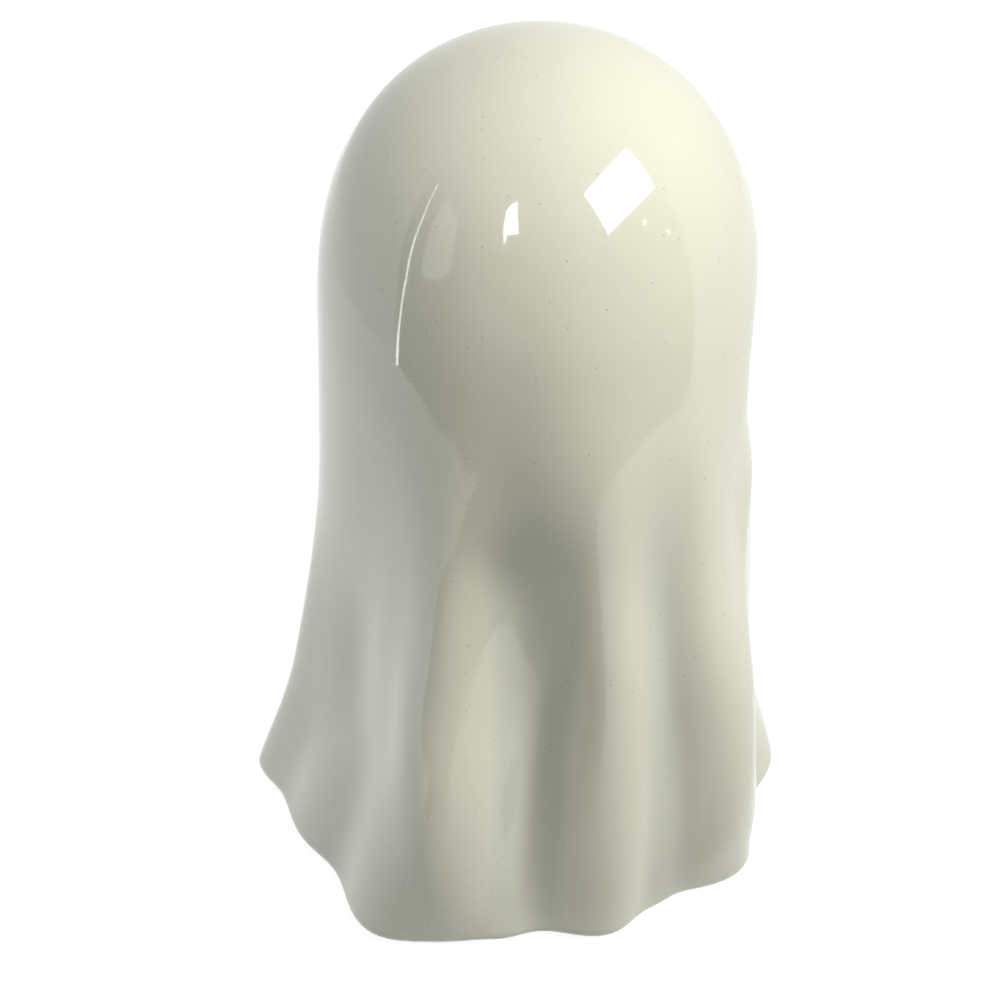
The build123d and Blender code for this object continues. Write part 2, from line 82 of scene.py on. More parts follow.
class Value:
    """A number on a node's output that takes part in Python arithmetic."""

    def __init__(self, graph: "Graph", socket: bpy.types.NodeSocket) -> None:
        """Keep the graph that the number belongs to, and its socket."""
        self.graph = graph
        self.socket = socket

    def __add__(self, other: Number) -> "Value":
        """Sum of two numbers."""
        return self.graph.maths("ADD", self, other)

    __radd__ = __add__

    def __sub__(self, other: Number) -> "Value":
        """Difference of two numbers."""
        return self.graph.maths("SUBTRACT", self, other)

    def __rsub__(self, other: Number) -> "Value":
        """Difference with this number taken away."""
        return self.graph.maths("SUBTRACT", other, self)

    def __mul__(self, other: Number) -> "Value":
        """Product of two numbers."""
        return self.graph.maths("MULTIPLY", self, other)

    def __pow__(self, other: Number) -> "Value":
        """This number to a power."""
        return self.graph.maths("POWER", self, other)

    def __abs__(self) -> "Value":
        """This number without its sign."""
        return self.graph.maths("ABSOLUTE", self)

    def most(self, other: Number) -> "Value":
        """The larger of two numbers."""
        return self.graph.maths("MAXIMUM", self, other)

    def rise(self, low: float, high: float) -> "Value":
        """Smooth step of this number.

        Args:
            low: Where the step starts from 0.
            high: Where the step reaches 1.

        Returns:
            A value from 0 to 1, falling where low is above high.
        """
        start, end, first, last = (low, high, 0.0, 1.0) if low < high else (high, low, 1.0, 0.0)
        sockets = {"Value": self, "From Min": start, "From Max": end, "To Min": first, "To Max": last}
        made = self.graph.node("MapRange", sockets, interpolation_type="SMOOTHSTEP")
        return Value(self.graph, made.outputs["Result"])

    def between(self, low: float, high: float, soft: float = 0.1) -> "Value":
        """1 between two limits and 0 outside, with edges of a given softness."""
        return self.rise(low, low + soft) * self.rise(high, high - soft)


@dataclass(frozen=True)
class Cloud:
    """Cloudy noise: features per metre, finer layers, the step taken of it and how much of it shows."""

    scale: float
    detail: float
    low: float
    high: float
    shown: float = 1.0
    stretch: Triple = EVEN


@dataclass(frozen=True)
class Dots:
    """Scattered dots: cells per metre, radius in cells, share of cells with a dot, and how much shows."""

    per_metre: float
    size: float
    kept: float
    shown: float
    core: float = 0.5
    margin: float = 0.01


class Graph:
    """A node tree with short ways to add what the finishes need."""

    def __init__(self, tree: bpy.types.NodeTree) -> None:
        """Take over a tree and empty it."""
        self.tree = tree
        self.tree.nodes.clear()

    def feed(self, socket: bpy.types.NodeSocket, value: Any) -> None:
        """Give an input its value.

        Args:
            socket: The input.
            value: A Value or an output to link, or a plain number, colour or vector.
        """
        if isinstance(value, Value):
            self.tree.links.new(value.socket, socket)
        elif isinstance(value, bpy.types.NodeSocket):
            self.tree.links.new(value, socket)
        elif socket.type == "RGBA":
            socket.default_value = (*value, 1.0)
        else:
            socket.default_value = value

    def node(self, kind: str, sockets: Optional[Inputs] = None, **settings: Any) -> bpy.types.Node:
        """Add one node.

        Args:
            kind: The node's type, without the prefix that all shader nodes have.
            sockets: Values or links of its inputs, by name or number.
            settings: Properties of the node, set before its sockets.

        Returns:
            The new node.
        """
        made = self.tree.nodes.new("ShaderNode" + kind)
        for key, value in settings.items():
            setattr(made, key, value)
        for key, value in (sockets or {}).items():
            self.feed(made.inputs[key], value)
        return made

    def maths(self, operation: str, *numbers: Number) -> Value:
        """Result of a Math node for an operation and its numbers, at least one of them a Value."""
        made = self.node("Math", dict(enumerate(numbers)), operation=operation)
        return Value(self, made.outputs[0])

    def mix(self, share: Number, low: Tint, high: Tint) -> bpy.types.NodeSocket:
        """Blend of two colours, with the share of the second one from 0 to 1."""
        made = self.node("Mix", {0: share, 6: low, 7: high}, data_type="RGBA")
        return made.outputs[2]

    def place(self, stretch: Triple = EVEN) -> bpy.types.NodeSocket:
        """Position on the piece in metres, stretched along its axes."""
        where = self.node("TexCoord").outputs["Object"]
        return self.node("VectorMath", {0: where, 1: stretch}, operation="MULTIPLY").outputs[0]

    def axes(self) -> Tuple[Value, Value, Value]:
        """Position on the piece as three numbers, in millimetres."""
        split = self.node("SeparateXYZ", {0: self.place((1.0 / MM, 1.0 / MM, 1.0 / MM))})
        return tuple(Value(self, split.outputs[axis]) for axis in range(3))

    def noise(self, scale: float, detail: float = 2.0, stretch: Triple = EVEN) -> Value:
        """Cloudy noise round 0.5, by features per metre, finer layers, and factors along the axes."""
        sockets = {"Vector": self.place(stretch), "Scale": scale, "Detail": detail}
        return Value(self, self.node("TexNoise", sockets).outputs[0])

    def cloud(self, cloud: Cloud) -> Value:
        """Noise taken in a smooth step, from 0 to the share that shows."""
        return self.noise(cloud.scale, cloud.detail, cloud.stretch).rise(cloud.low, cloud.high) * cloud.shown

    def dots(self, dots: Dots) -> Value:
        """Scattered round dots, at most one in each cell.

        Args:
            dots: How many there are, and how large.

        Returns:
            1 in a dot and 0 outside.
        """
        cells = self.node("TexVoronoi", {"Vector": self.place(), "Scale": dots.per_metre})
        split = self.node("SeparateColor", {0: cells.outputs["Color"]})
        chosen = Value(self, split.outputs[0]).rise(dots.kept + dots.margin, dots.kept - dots.margin)
        return Value(self, cells.outputs["Distance"]).rise(dots.size, dots.size * dots.core) * chosen

    def attribute(self, name: str) -> Value:
        """A number kept on the mesh."""
        return Value(self, self.node("Attribute", attribute_name=name).outputs["Fac"])

    def bump(self, height: Value, depth: float, strength: float = 1.0) -> bpy.types.NodeSocket:
        """Normal bent by a height from 0 to 1, where the depth in metres is that of a height of 1."""
        made = self.node("Bump", {"Height": height, "Distance": depth, "Strength": strength})
        return made.outputs["Normal"]

    def close(self, sockets: Mapping[str, Any]) -> None:
        """End a material in a Principled shader with these sockets."""
        shader = self.node("BsdfPrincipled", sockets)
        self.node("OutputMaterial", {"Surface": shader.outputs[0]})


def new_graph(name: str) -> Tuple[bpy.types.Material, Graph]:
    """An empty material and its graph."""
    material = bpy.data.materials.new(name)
    material.use_nodes = True
    return material, Graph(material.node_tree)


@dataclass(frozen=True)
class Finish:
    """A procedural material, by its name."""

    name: str

    def sockets(self, g: Graph) -> Dict[str, Any]:
        """Inputs of the shader, by name."""
        raise NotImplementedError

    def make(self) -> bpy.types.Material:
        """Build the material."""
        material, g = new_graph(self.name)
        g.close(self.sockets(g))
        return material


@dataclass(frozen=True)
class Glaze(Finish):
    """Glossy ivory glaze over a pale body, bare where the piece was wiped dry, with pooled glaze and painted
    shade in its valleys.
    """

    name: str = "ivory_glaze"
    ivory: Colour = (0.80, 0.79, 0.655)
    pooled_and_shade: Colour = (0.675, 0.68, 0.58)
    cloudy: Colour = (0.77, 0.765, 0.64)
    speck: Colour = (0.42, 0.39, 0.29)
    pinhole: Colour = (0.07, 0.055, 0.035)
    body: Colour = (0.74, 0.70, 0.62)
    gloss: float = 0.045
    haze: float = 0.02
    body_roughness: float = 0.82
    refraction: float = 1.55
    relief_depth: float = 0.00008
    bare_edge: Pair = (0.42, 0.56)
    pool_and_shade_edge: Pair = (0.05, 0.9)
    pool_and_shade_shown: float = 0.8
    clouds: Cloud = Cloud(24.0, 3.0, 0.35, 0.75)
    runs: Cloud = Cloud(55.0, 2.0, 0.4, 0.65, 0.5, (1.0, 1.0, 0.06))
    grains: Dots = Dots(1150.0, 0.17, 0.4, 0.22)
    specks: Dots = Dots(430.0, 0.1, 0.5, 0.55)
    pinholes: Dots = Dots(62.0, 0.026, 0.4, 0.85)

    def sockets(self, g: Graph) -> Dict[str, Any]:
        """Inputs of the shader, by name."""
        grain = g.noise(2600.0, 3.0)
        ragged = (g.noise(170.0, 3.0) - 0.5) * 0.5
        bare = (g.attribute("dry") + ragged).rise(*self.bare_edge)
        tint = g.mix(g.cloud(self.clouds), self.ivory, self.cloudy)
        tint = g.mix(g.cloud(self.runs), tint, self.cloudy)
        # Darker, greener valleys: partly pooled glaze, partly painted shade, with more painted shade at two
        # dips.
        tint = g.mix(g.attribute("pool_and_shade").rise(*self.pool_and_shade_edge) * self.pool_and_shade_shown, tint, self.pooled_and_shade)
        for spots in (self.grains, self.specks):
            tint = g.mix(g.dots(spots) * spots.shown, tint, self.speck)
        holes = g.dots(self.pinholes)
        tint = g.mix(holes * self.pinholes.shown, tint, self.pinhole)
        clay = g.mix(grain.rise(0.35, 0.7) * 0.35, self.body, self.cloudy)
        smooth = self.gloss + g.noise(90.0, 2.0) * self.haze
        ripple = g.noise(75.0, 1.0) * (1 - bare) * 0.15
        relief = grain * bare * 0.6 + ripple + (1 - holes) * 0.8
        return {
            "Base Color": g.mix(bare, tint, clay),
            "Roughness": smooth * (1 - bare) + bare * self.body_roughness,
            "IOR": self.refraction,
            "Normal": g.bump(relief, self.relief_depth),
        }


@dataclass(frozen=True)
class Felt(Finish):
    """Pressed wool felt."""

    name: str = "pressed_felt"
    dark: Colour = (0.070, 0.066, 0.062)
    pale: Colour = (0.21, 0.20, 0.185)
    fleck: Colour = (0.34, 0.33, 0.31)
    flecks: Dots = Dots(900.0, 0.3, 0.25, 0.35)
    sheen: float = 0.35
    relief_depth: float = 0.0003

    def sockets(self, g: Graph) -> Dict[str, Any]:
        """Inputs of the shader, by name."""
        along_x = g.noise(2300.0, 4.0, (0.3, 1.0, 0.7))
        along_y = g.noise(1900.0, 4.0, (1.0, 0.35, 0.6))
        fibres = along_y * 0.5 + along_x * 0.5
        tint = g.mix(fibres.rise(0.32, 0.7), self.dark, self.pale)
        return {
            "Base Color": g.mix(g.dots(self.flecks) * self.flecks.shown, tint, self.fleck),
            "Roughness": 0.86 + fibres * 0.12,
            "Sheen Weight": self.sheen,
            "Normal": g.bump(fibres, self.relief_depth),
        }


@dataclass(frozen=True)
class Moulding(Finish):
    """Injection-moulded plastic with a fine spark-eroded grain."""

    tint: Colour
    gloss: float = 0.42
    grain: float = 0.00004
    glow: float = 0.0
    worn: float = 0.93
    dusty: float = 0.6
    dust: Dots = Dots(420.0, 0.09, 0.16, 0.3)

    def sockets(self, g: Graph) -> Dict[str, Any]:
        """Inputs of the shader, by name."""
        fine = g.noise(3800.0, 2.0)
        flow = g.noise(55.0, 3.0)
        tint = g.mix(flow.rise(0.35, 0.7) * 0.8, self.tint, shaded(self.tint, self.worn))
        return {
            "Base Color": g.mix(g.dots(self.dust) * self.dust.shown, tint, shaded(self.tint, self.dusty)),
            "Roughness": self.gloss + (fine - 0.5) * 0.16 + (flow - 0.5) * 0.1,
            "Transmission Weight": self.glow,
            "Normal": g.bump(fine, self.grain),
        }


class Lay(Enum):
    """Which way the fine lines of a metal run."""

    ALONG_X = (0.05, 1.0, 1.0)
    ALONG_Y = (1.0, 0.05, 1.0)
    ALONG_Z = (1.0, 1.0, 0.05)


@dataclass(frozen=True)
class Metal(Finish):
    """Plated or drawn metal with fine lines and a little tarnish."""

    tint: Colour
    lay: Lay
    gloss: float = 0.28
    tarnish: float = 0.72
    relief_depth: float = 0.00002

    def sockets(self, g: Graph) -> Dict[str, Any]:
        """Inputs of the shader, by name."""
        lines = g.noise(3200.0, 2.0, self.lay.value)
        bloom = g.noise(240.0, 3.0)
        return {
            "Base Color": g.mix(bloom.rise(0.45, 0.8) * 0.6, self.tint, shaded(self.tint, self.tarnish)),
            "Metallic": 1.0,
            "Roughness": self.gloss + (lines - 0.5) * 0.22 + (bloom - 0.5) * 0.16,
            "Normal": g.bump(lines, self.relief_depth),
        }


@dataclass(frozen=True)
class SolderMask(Finish):
    """Green circuit board with copper tracks under the lacquer and tinned pads, in millimetres."""

    name: str = "circuit_board_lacquer"
    mask: Colour = (0.018, 0.12, 0.05)
    track: Colour = (0.05, 0.22, 0.085)
    solder: Colour = (0.62, 0.62, 0.60)
    edge: Colour = (0.42, 0.40, 0.25)
    pads: Tuple[Pair, ...] = (
        (-1.27, 16.5), (1.27, 16.5), (-12.5, 14.8), (-2.5, 14.8), (12.0, 16.35), (7.5, 16.35))
    bus_level: float = 10.5
    bus_edge: Pair = (0.75, 0.6)
    bus_end: Pair = (12.6, 12.4)
    run_start: float = 10.2
    run_soft: float = 0.2
    run_edge: Pair = (0.55, 0.42)
    pad_edge: Pair = (1.1, 0.8)
    rim_side: Pair = (13.9, 13.97)
    rim_top: Pair = (18.72, 18.78)
    rim_foot: Pair = (3.88, 3.83)
    relief_depth: float = 0.00006

    def sockets(self, g: Graph) -> Dict[str, Any]:
        """Inputs of the shader, by name."""
        x, _, z = g.axes()
        tracks = abs(z - self.bus_level).rise(*self.bus_edge) * abs(x).rise(*self.bus_end)
        tinned = tracks * 0.0
        for across, up in self.pads:
            run = abs(x - across).rise(*self.run_edge) * z.between(self.run_start, up, self.run_soft)
            tracks = tracks.most(run)
            apart = (x - across) ** 2.0 + (z - up) ** 2.0
            tinned = tinned.most(apart.rise(*self.pad_edge))
        weave = g.noise(1500.0, 2.0, (1.0, 1.0, 0.2)) * 0.5 + g.noise(1500.0, 2.0, (0.2, 1.0, 1.0)) * 0.5
        rim = abs(x).rise(*self.rim_side).most(z.rise(*self.rim_top)).most(z.rise(*self.rim_foot))
        tint = g.mix(tracks, self.mask, self.track)
        tint = g.mix(tinned, tint, self.solder)
        return {
            "Base Color": g.mix(rim, tint, self.edge),
            "Metallic": tinned,
            "Roughness": 0.3 + weave * 0.16 + rim * 0.3,
            "Normal": g.bump(weave * 0.3 + tracks * 0.4 + tinned * 0.3, self.relief_depth),
        }


@dataclass(frozen=True)
class BandedResistor(Finish):
    """Lacquered resistor body with colour bands, on tinned legs, in millimetres."""

    name: str = "banded_resistor"
    centre: float = -7.5
    length: float = 6.0
    lacquer: Colour = (0.56, 0.42, 0.24)
    wire: Colour = (0.66, 0.66, 0.64)
    bands: Tuple[Tuple[float, Colour], ...] = (
        (-1.9, (0.16, 0.05, 0.02)), (-0.9, (0.02, 0.02, 0.02)),
        (0.1, (0.16, 0.05, 0.02)), (1.8, (0.55, 0.38, 0.10)))
    band_edge: Pair = (0.38, 0.30)
    end_soft: float = 0.02
    relief_depth: float = 0.00003

    def sockets(self, g: Graph) -> Dict[str, Any]:
        """Inputs of the shader, by name."""
        x, _, _ = g.axes()
        end = self.length / 2.0
        bare = abs(x - self.centre).rise(end - self.end_soft, end + self.end_soft)
        shade = g.noise(700.0, 3.0)
        tint = g.mix(shade * 0.3, self.lacquer, shaded(self.lacquer, 0.8))
        for offset, colour in self.bands:
            tint = g.mix(abs(x - self.centre - offset).rise(*self.band_edge), tint, colour)
        return {
            "Base Color": g.mix(bare, tint, self.wire),
            "Metallic": bare,
            "Roughness": 0.34 + shade * 0.1,
            "Normal": g.bump(shade, self.relief_depth),
        }


@dataclass(frozen=True)
class CellSleeve(Finish):
    """Shrunk plastic sleeve of a battery cell, with bare metal ends, in millimetres along the cell."""

    facing: float
    sleeve: Colour = (0.035, 0.042, 0.055)
    band: Colour = (0.42, 0.40, 0.36)
    metal: Colour = (0.66, 0.66, 0.64)
    cap_edge: Pair = (20.9, 21.0)
    base_edge: Pair = (-21.9, -22.0)
    band_span: Pair = (10.6, 20.4)
    line_span: Pair = (9.6, 10.1)
    relief_depth: float = 0.0001
    relief_shown: float = 0.4

    def sockets(self, g: Graph) -> Dict[str, Any]:
        """Inputs of the shader, by name."""
        x, _, _ = g.axes()
        along = x * self.facing
        ends = along.rise(*self.cap_edge).most(along.rise(*self.base_edge))
        band = along.between(*self.band_span)
        ripple = g.noise(130.0, 3.0)
        tint = g.mix(band.most(along.between(*self.line_span)), self.sleeve, self.band)
        return {
            "Base Color": g.mix(ends, tint, self.metal),
            "Metallic": ends.most(band * 0.4),
            "Roughness": 0.26 + ripple * 0.12 + ends * 0.08,
            "Normal": g.bump(ripple, self.relief_depth, self.relief_shown),
        }


@dataclass(frozen=True)
class RibbedKnob(Finish):
    """Black slider knob with moulded grip lines, in millimetres."""

    name: str = "ribbed_knob"
    tint: Colour = (0.022, 0.022, 0.024)
    ridge: Colour = (0.05, 0.05, 0.052)
    pitch: float = 0.5
    tip_edge: Pair = (1.35, 1.15)
    relief_depth: float = 0.0001

    def sockets(self, g: Graph) -> Dict[str, Any]:
        """Inputs of the shader, by name."""
        x, _, z = g.axes()
        wave = abs(g.maths("SINE", x * (2.0 * math.pi / self.pitch)))
        ribs = wave * z.rise(*self.tip_edge)
        fine = g.noise(3000.0, 2.0)
        return {
            "Base Color": g.mix(ribs * 0.5, self.tint, self.ridge),
            "Roughness": 0.44 + fine * 0.12,
            "Normal": g.bump(ribs + fine * 0.1, self.relief_depth),
        }


@dataclass(frozen=True)
class Lens(Finish):
    """Clear epoxy of the light, warm when off, in millimetres."""

    name: str = "clear_lens"
    tint: Colour = (0.93, 0.84, 0.56)
    base_tint: Colour = (0.80, 0.70, 0.40)
    base_edge: Pair = (22.6, 21.4)
    clear: float = 0.75
    refraction: float = 1.5

    def sockets(self, g: Graph) -> Dict[str, Any]:
        """Inputs of the shader, by name."""
        _, _, z = g.axes()
        base = z.rise(*self.base_edge)
        return {
            "Base Color": g.mix(base * 0.6, self.tint, self.base_tint),
            "Roughness": 0.05 + base * 0.25,
            "Transmission Weight": self.clear,
            "IOR": self.refraction,
        }


class Draft:
    """Vertices, faces and two numbers per vertex, gathered ring by ring in millimetres."""

    def __init__(self) -> None:
        """Start empty."""
        self.points: List[np.ndarray] = []
        self.dry: List[np.ndarray] = []
        self.pool_and_shade: List[np.ndarray] = []
        self.faces: List[Tuple[int, ...]] = []
        self.count = 0

    def ring(self, points: np.ndarray, dry: float = 0.0, pool_and_shade: Optional[np.ndarray] = None) -> np.ndarray:
        """Add the points of a ring.

        Args:
            points: Positions, one row each.
            dry: How free of glaze they are.
            pool_and_shade: How much pooled glaze and painted shade darken each.

        Returns:
            Their numbers.
        """
        self.points.append(points)
        self.dry.append(np.full(len(points), dry))
        self.pool_and_shade.append(np.zeros(len(points)) if pool_and_shade is None else pool_and_shade)
        first = self.count
        self.count += len(points)
        return np.arange(first, self.count)

    def bridge(self, one: np.ndarray, other: np.ndarray, left_open: Set[int] = frozenset()) -> None:
        """Join two rings with quads.

        Args:
            one: Numbers of the first ring.
            other: Numbers of the second ring.
            left_open: Columns without a face.
        """
        total = len(one)
        for column in range(total):
            if column not in left_open:
                following = (column + 1) % total
                corners = (one[column], one[following], other[following], other[column])
                self.faces.append(tuple(int(corner) for corner in corners))

    def cap(self, ring: np.ndarray, point: Sequence[float], dry: float) -> None:
        """Close a ring with a fan about one point."""
        centre = int(self.ring(np.array([point], float), dry)[0])
        total = len(ring)
        for column in range(total):
            self.faces.append((int(ring[column]), int(ring[(column + 1) % total]), centre))

    def mesh(self, name: str, crease: float) -> bpy.types.Object:
        """Turn the draft into an object in metres.

        Args:
            name: Name of the piece.
            crease: Angle in degrees above which an edge stays sharp.

        Returns:
            The linked object.
        """
        data = bpy.data.meshes.new(name)
        data.from_pydata((np.concatenate(self.points) * MM).tolist(), [], self.faces)
        for key, rows in (("dry", self.dry), ("pool_and_shade", self.pool_and_shade)):
            kept = data.attributes.new(key, "FLOAT", "POINT")
            kept.data.foreach_set("value", np.concatenate(rows).astype(np.float32))
        work = bmesh.new()
        work.from_mesh(data)
        bmesh.ops.recalc_face_normals(work, faces=work.faces[:])
        work.to_mesh(data)
        work.free()
        data.shade_smooth()
        data.set_sharp_from_angle(angle=math.radians(crease))
        piece = bpy.data.objects.new(name, data)
        bpy.context.scene.collection.objects.link(piece)
        return piece


@dataclass(frozen=True)
class Fold:
    """One ridge of the draped sheet, or a groove if its depth is below 0, in degrees and millimetres."""

    angle: float
    lean: float
    spread: float
    depth: float
    top: float
    full: float

    def push(self, angle: np.ndarray, height: np.ndarray, total: float) -> np.ndarray:
        """How far the fold moves points of a sheet out.

        Args:
            angle: Directions in degrees.
            height: Heights above the hem.
            total: Height of the whole sheet, over which the fold leans.

        Returns:
            Distances.
        """
        off = wrapped(angle - self.angle - self.lean * height / total)
        share = np.clip((self.top - height) / (self.top - self.full), 0.0, 1.0)
        return self.depth * share * share * (3.0 - 2.0 * share) * np.exp(-((off / self.spread) ** 2))


@dataclass(frozen=True)
class Hollow:
    """A place where the sheet falls in between the ridges, or swells if its depth is below 0."""

    angle: float
    spread: float
    height: float
    reach: float
    depth: float
    # painted_shade: painted shade added round the middle, darkening the glaze there.
    painted_shade: float = 0.0

    def nearness(self, angle: np.ndarray, height: np.ndarray) -> np.ndarray:
        """How near points are to its middle, from 0 to 1."""
        off = wrapped(angle - self.angle)
        return np.exp(-((off / self.spread) ** 2) - ((height - self.height) / self.reach) ** 2)


@dataclass(frozen=True)
class Cutout:
    """An oval opening of the face."""

    x: float
    height: float
    half_width: float
    half_height: float
    tilt: float

    def rim(self, turn: np.ndarray, grown: float) -> Tuple[np.ndarray, np.ndarray]:
        """Points of the oval, seen from the front.

        Args:
            turn: Angles round the oval, in radians.
            grown: How far outside the oval they lie.

        Returns:
            Their places across and above the hem.
        """
        across = (self.half_width + grown) * np.cos(turn)
        up = (self.half_height + grown) * np.sin(turn)
        lean = math.radians(self.tilt)
        return (self.x + across * math.cos(lean) + up * math.sin(lean),
                self.height - across * math.sin(lean) + up * math.cos(lean))

    def turn_of(self, x: np.ndarray, height: np.ndarray) -> np.ndarray:
        """Angles round the oval at which points outside it lie."""
        lean = math.radians(self.tilt)
        across = (x - self.x) * math.cos(lean) - (height - self.height) * math.sin(lean)
        up = (x - self.x) * math.sin(lean) + (height - self.height) * math.cos(lean)
        return np.arctan2(up / self.half_height, across / self.half_width)


class Side(Enum):
    """The two faces of the cast wall, with the inset and the relief of the folds on each."""

    OUTSIDE = (0.0, 1.0)
    INSIDE = (4.5, 0.8)


@dataclass(frozen=True)
class Window:
    """Block of grid cells that a cutout's patch takes the place of."""

    first_row: int
    last_row: int
    first_column: int
    last_column: int

    def border(self) -> List[Tuple[int, int]]:
        """Rows and columns of the grid points round the block, in order."""
        top = [(self.first_row, column) for column in range(self.first_column, self.last_column)]
        right = [(row, self.last_column) for row in range(self.first_row, self.last_row)]
        bottom = [(self.last_row, column) for column in range(self.last_column, self.first_column, -1)]
        left = [(row, self.first_column) for row in range(self.last_row, self.first_row, -1)]
        return top + right + bottom + left


@dataclass
class Ghost:
    """The cast and glazed sheet ghost, in millimetres above its hem."""

    height: float = 165.0
    head_radius: float = 40.4
    dome_height: float = 52.0
    dome_power: float = 2.6
    flare_top: float = 138.0
    flare_power: float = 1.5
    hem_radius: float = 48.979
    hem_roll: float = 3.0
    roll_start: float = 80.0
    wiped_height: float = 1.1
    shift: float = -2.5
    foot_z: float = 0.8
    floor_under: float = 3.3
    floor_top: float = 8.3
    recess_radius: float = 42.779
    pour_hole_radius: float = 32.379
    rim_round: float = 1.2
    edge_round: float = 0.4
    edge_bend: float = 0.3
    crown_radius: float = 0.9
    columns: int = 240
    row_step: float = 1.05
    dome_samples: int = 4000
    foot_rows: int = 6
    sharp_above: float = 42.0
    valley_width: float = 13.0
    valley_depth: float = 4.0
    front_span: Pair = (205.0, 335.0)
    halvings: int = 40
    window_margin: Pair = (5.0, 3.2)
    folds: Tuple[Fold, ...] = (
        Fold(-1.0, -1.0, 8.5, 6.7, 83.0, -11.0),
        Fold(6.5, 28.0, 24.7, 6.3, 30.0, -11.5),
        Fold(28.0, 25.0, 12.2, 3.2, 36.5, 13.0),
        Fold(58.5, 37.5, 14.9, 11.2, 120.0, 7.5),
        Fold(79.5, -22.5, 10.3, 4.2, 120.0, 25.5),
        Fold(108.0, -6.5, 13.4, 6.7, 120.0, 60.0),
        Fold(143.5, -30.5, 15.0, 9.2, 120.0, 49.5),
        Fold(185.0, 34.0, 16.5, 8.2, 35.0, -8.5),
        Fold(219.0, 6.0, 15.0, 6.5, 84.0, 6.0),
        Fold(247.0, -6.0, 12.0, 5.0, 72.0, 4.0),
        Fold(273.0, 4.0, 12.0, 6.4, 70.0, 2.0),
        Fold(300.0, 10.0, 13.0, 6.0, 78.0, 6.0),
        Fold(332.0, -8.0, 14.0, 6.5, 86.0, 4.0),
    )
    hollows: Tuple[Hollow, ...] = (
        Hollow(137.5, 45.0, 0.0, 14.0, 3.6),
        Hollow(83.0, 11.0, 76.0, 44.0, 1.9),
        Hollow(117.0, 10.0, 78.0, 26.5, 2.6),
        Hollow(174.5, 14.0, 104.0, 15.0, 3.6),
        Hollow(34.0, 24.0, 60.0, 36.5, 3.6),
        Hollow(103.0, 45.0, 108.0, 28.0, -4.2),
    )
    creases: Tuple[Fold, ...] = (
        Fold(115.0, 15.0, 5.0, -0.7, 107.0, 88.0),
        Fold(80.5, 42.0, 7.5, -2.7, 80.0, 46.0),
        Fold(84.5, -16.0, 5.5, 1.6, 57.0, 25.0),
        Fold(128.0, -18.0, 4.5, -0.9, 91.0, 43.0),
        Fold(79.0, -47.0, 8.0, 1.4, 72.0, 43.0),
        Fold(28.0, 28.0, 12.0, -0.7, 112.0, 90.0),
        Fold(126.0, 55.0, 7.0, 1.3, 100.0, 85.0),
    )
    # Shallow dips; the last number of the first two is painted shade in the back's deep valley.
    dips: Tuple[Hollow, ...] = (
        Hollow(92.0, 11.0, 76.0, 19.0, 1.0, 0.9),
        Hollow(98.5, 5.0, 78.0, 15.0, 0.6, 0.7),
        Hollow(80.0, 6.0, 82.0, 8.0, 0.8),
        Hollow(74.5, 4.5, 77.0, 12.0, 0.6),
        Hollow(25.0, 15.0, 44.0, 22.0, 2.7),
        Hollow(118.0, 16.0, 77.0, 16.0, 0.8),
    )
    face: Tuple[Cutout, ...] = (
        Cutout(14.0, 119.0, 6.0, 8.5, 8.0),
        Cutout(-14.0, 119.0, 6.0, 8.5, -8.0),
        Cutout(0.0, 94.0, 6.5, 9.0, 0.0),
    )

    def drape(self, angle: np.ndarray, height: np.ndarray) -> np.ndarray:
        """How far the folds move the sheet out.

        Args:
            angle: Directions in degrees.
            height: Heights above the hem.

        Returns:
            Distances, below 0 where the sheet falls in.
        """
        out = np.zeros(np.broadcast(angle, height).shape)
        for fold in self.folds + self.creases:
            out = out + fold.push(angle, height, self.height)
        for hollow in self.hollows + self.dips:
            out = out - hollow.depth * hollow.nearness(angle, height)
        return out

    def pooling_and_shade(self, angle: np.ndarray, height: np.ndarray) -> np.ndarray:
        """How much pooled glaze and painted shade darken points in the valleys, with painted shade added at
        some dips.

        Args:
            angle: Directions in degrees.
            height: Heights above the hem.

        Returns:
            Shares from 0 to 1.
        """
        sides = self.drape(angle - self.valley_width, height) + self.drape(angle + self.valley_width, height)
        pool_and_shade_share = (sides / 2.0 - self.drape(angle, height)) / self.valley_depth
        # Painted shade at the dips of the back's deep valley.
        for dip in self.dips:
            pool_and_shade_share = pool_and_shade_share + dip.painted_shade * dip.nearness(angle, height)
        return np.clip(pool_and_shade_share, 0.0, 1.0)

    def radius(self, side: Side, angle: np.ndarray, height: np.ndarray) -> np.ndarray:
        """Distance of a face of the wall from the body's axis.

        Args:
            side: Which face.
            angle: Directions in degrees.
            height: Heights above the hem.

        Returns:
            One distance for each point.
        """
        inset, relief = side.value
        shoulder = self.height - self.dome_height
        rise = np.clip(height - shoulder, 0.0, None) / (self.dome_height - inset)
        dome = (self.head_radius - inset) * np.sqrt(np.clip(1.0 - rise**self.dome_power, 0.0, 1.0))
        spread = np.clip(1.0 - height / self.flare_top, 0.0, 1.0) ** self.flare_power
        return dome + (self.hem_radius - self.head_radius) * spread + relief * self.drape(angle, height)

    def surface(self, side: Side, angle: np.ndarray, height: np.ndarray, inset: float = 0.0) -> np.ndarray:
        """Points on a face of the wall.

        Args:
            side: Which face.
            angle: Directions in degrees.
            height: Heights above the hem.
            inset: How far the points are drawn in.

        Returns:
            One row for each point.
        """
        reach = self.radius(side, angle, height) - inset
        turn = np.radians(angle)
        level = np.broadcast_to(self.foot_z + height, reach.shape)
        return np.stack([self.shift + reach * np.cos(turn), reach * np.sin(turn), level], axis=-1)

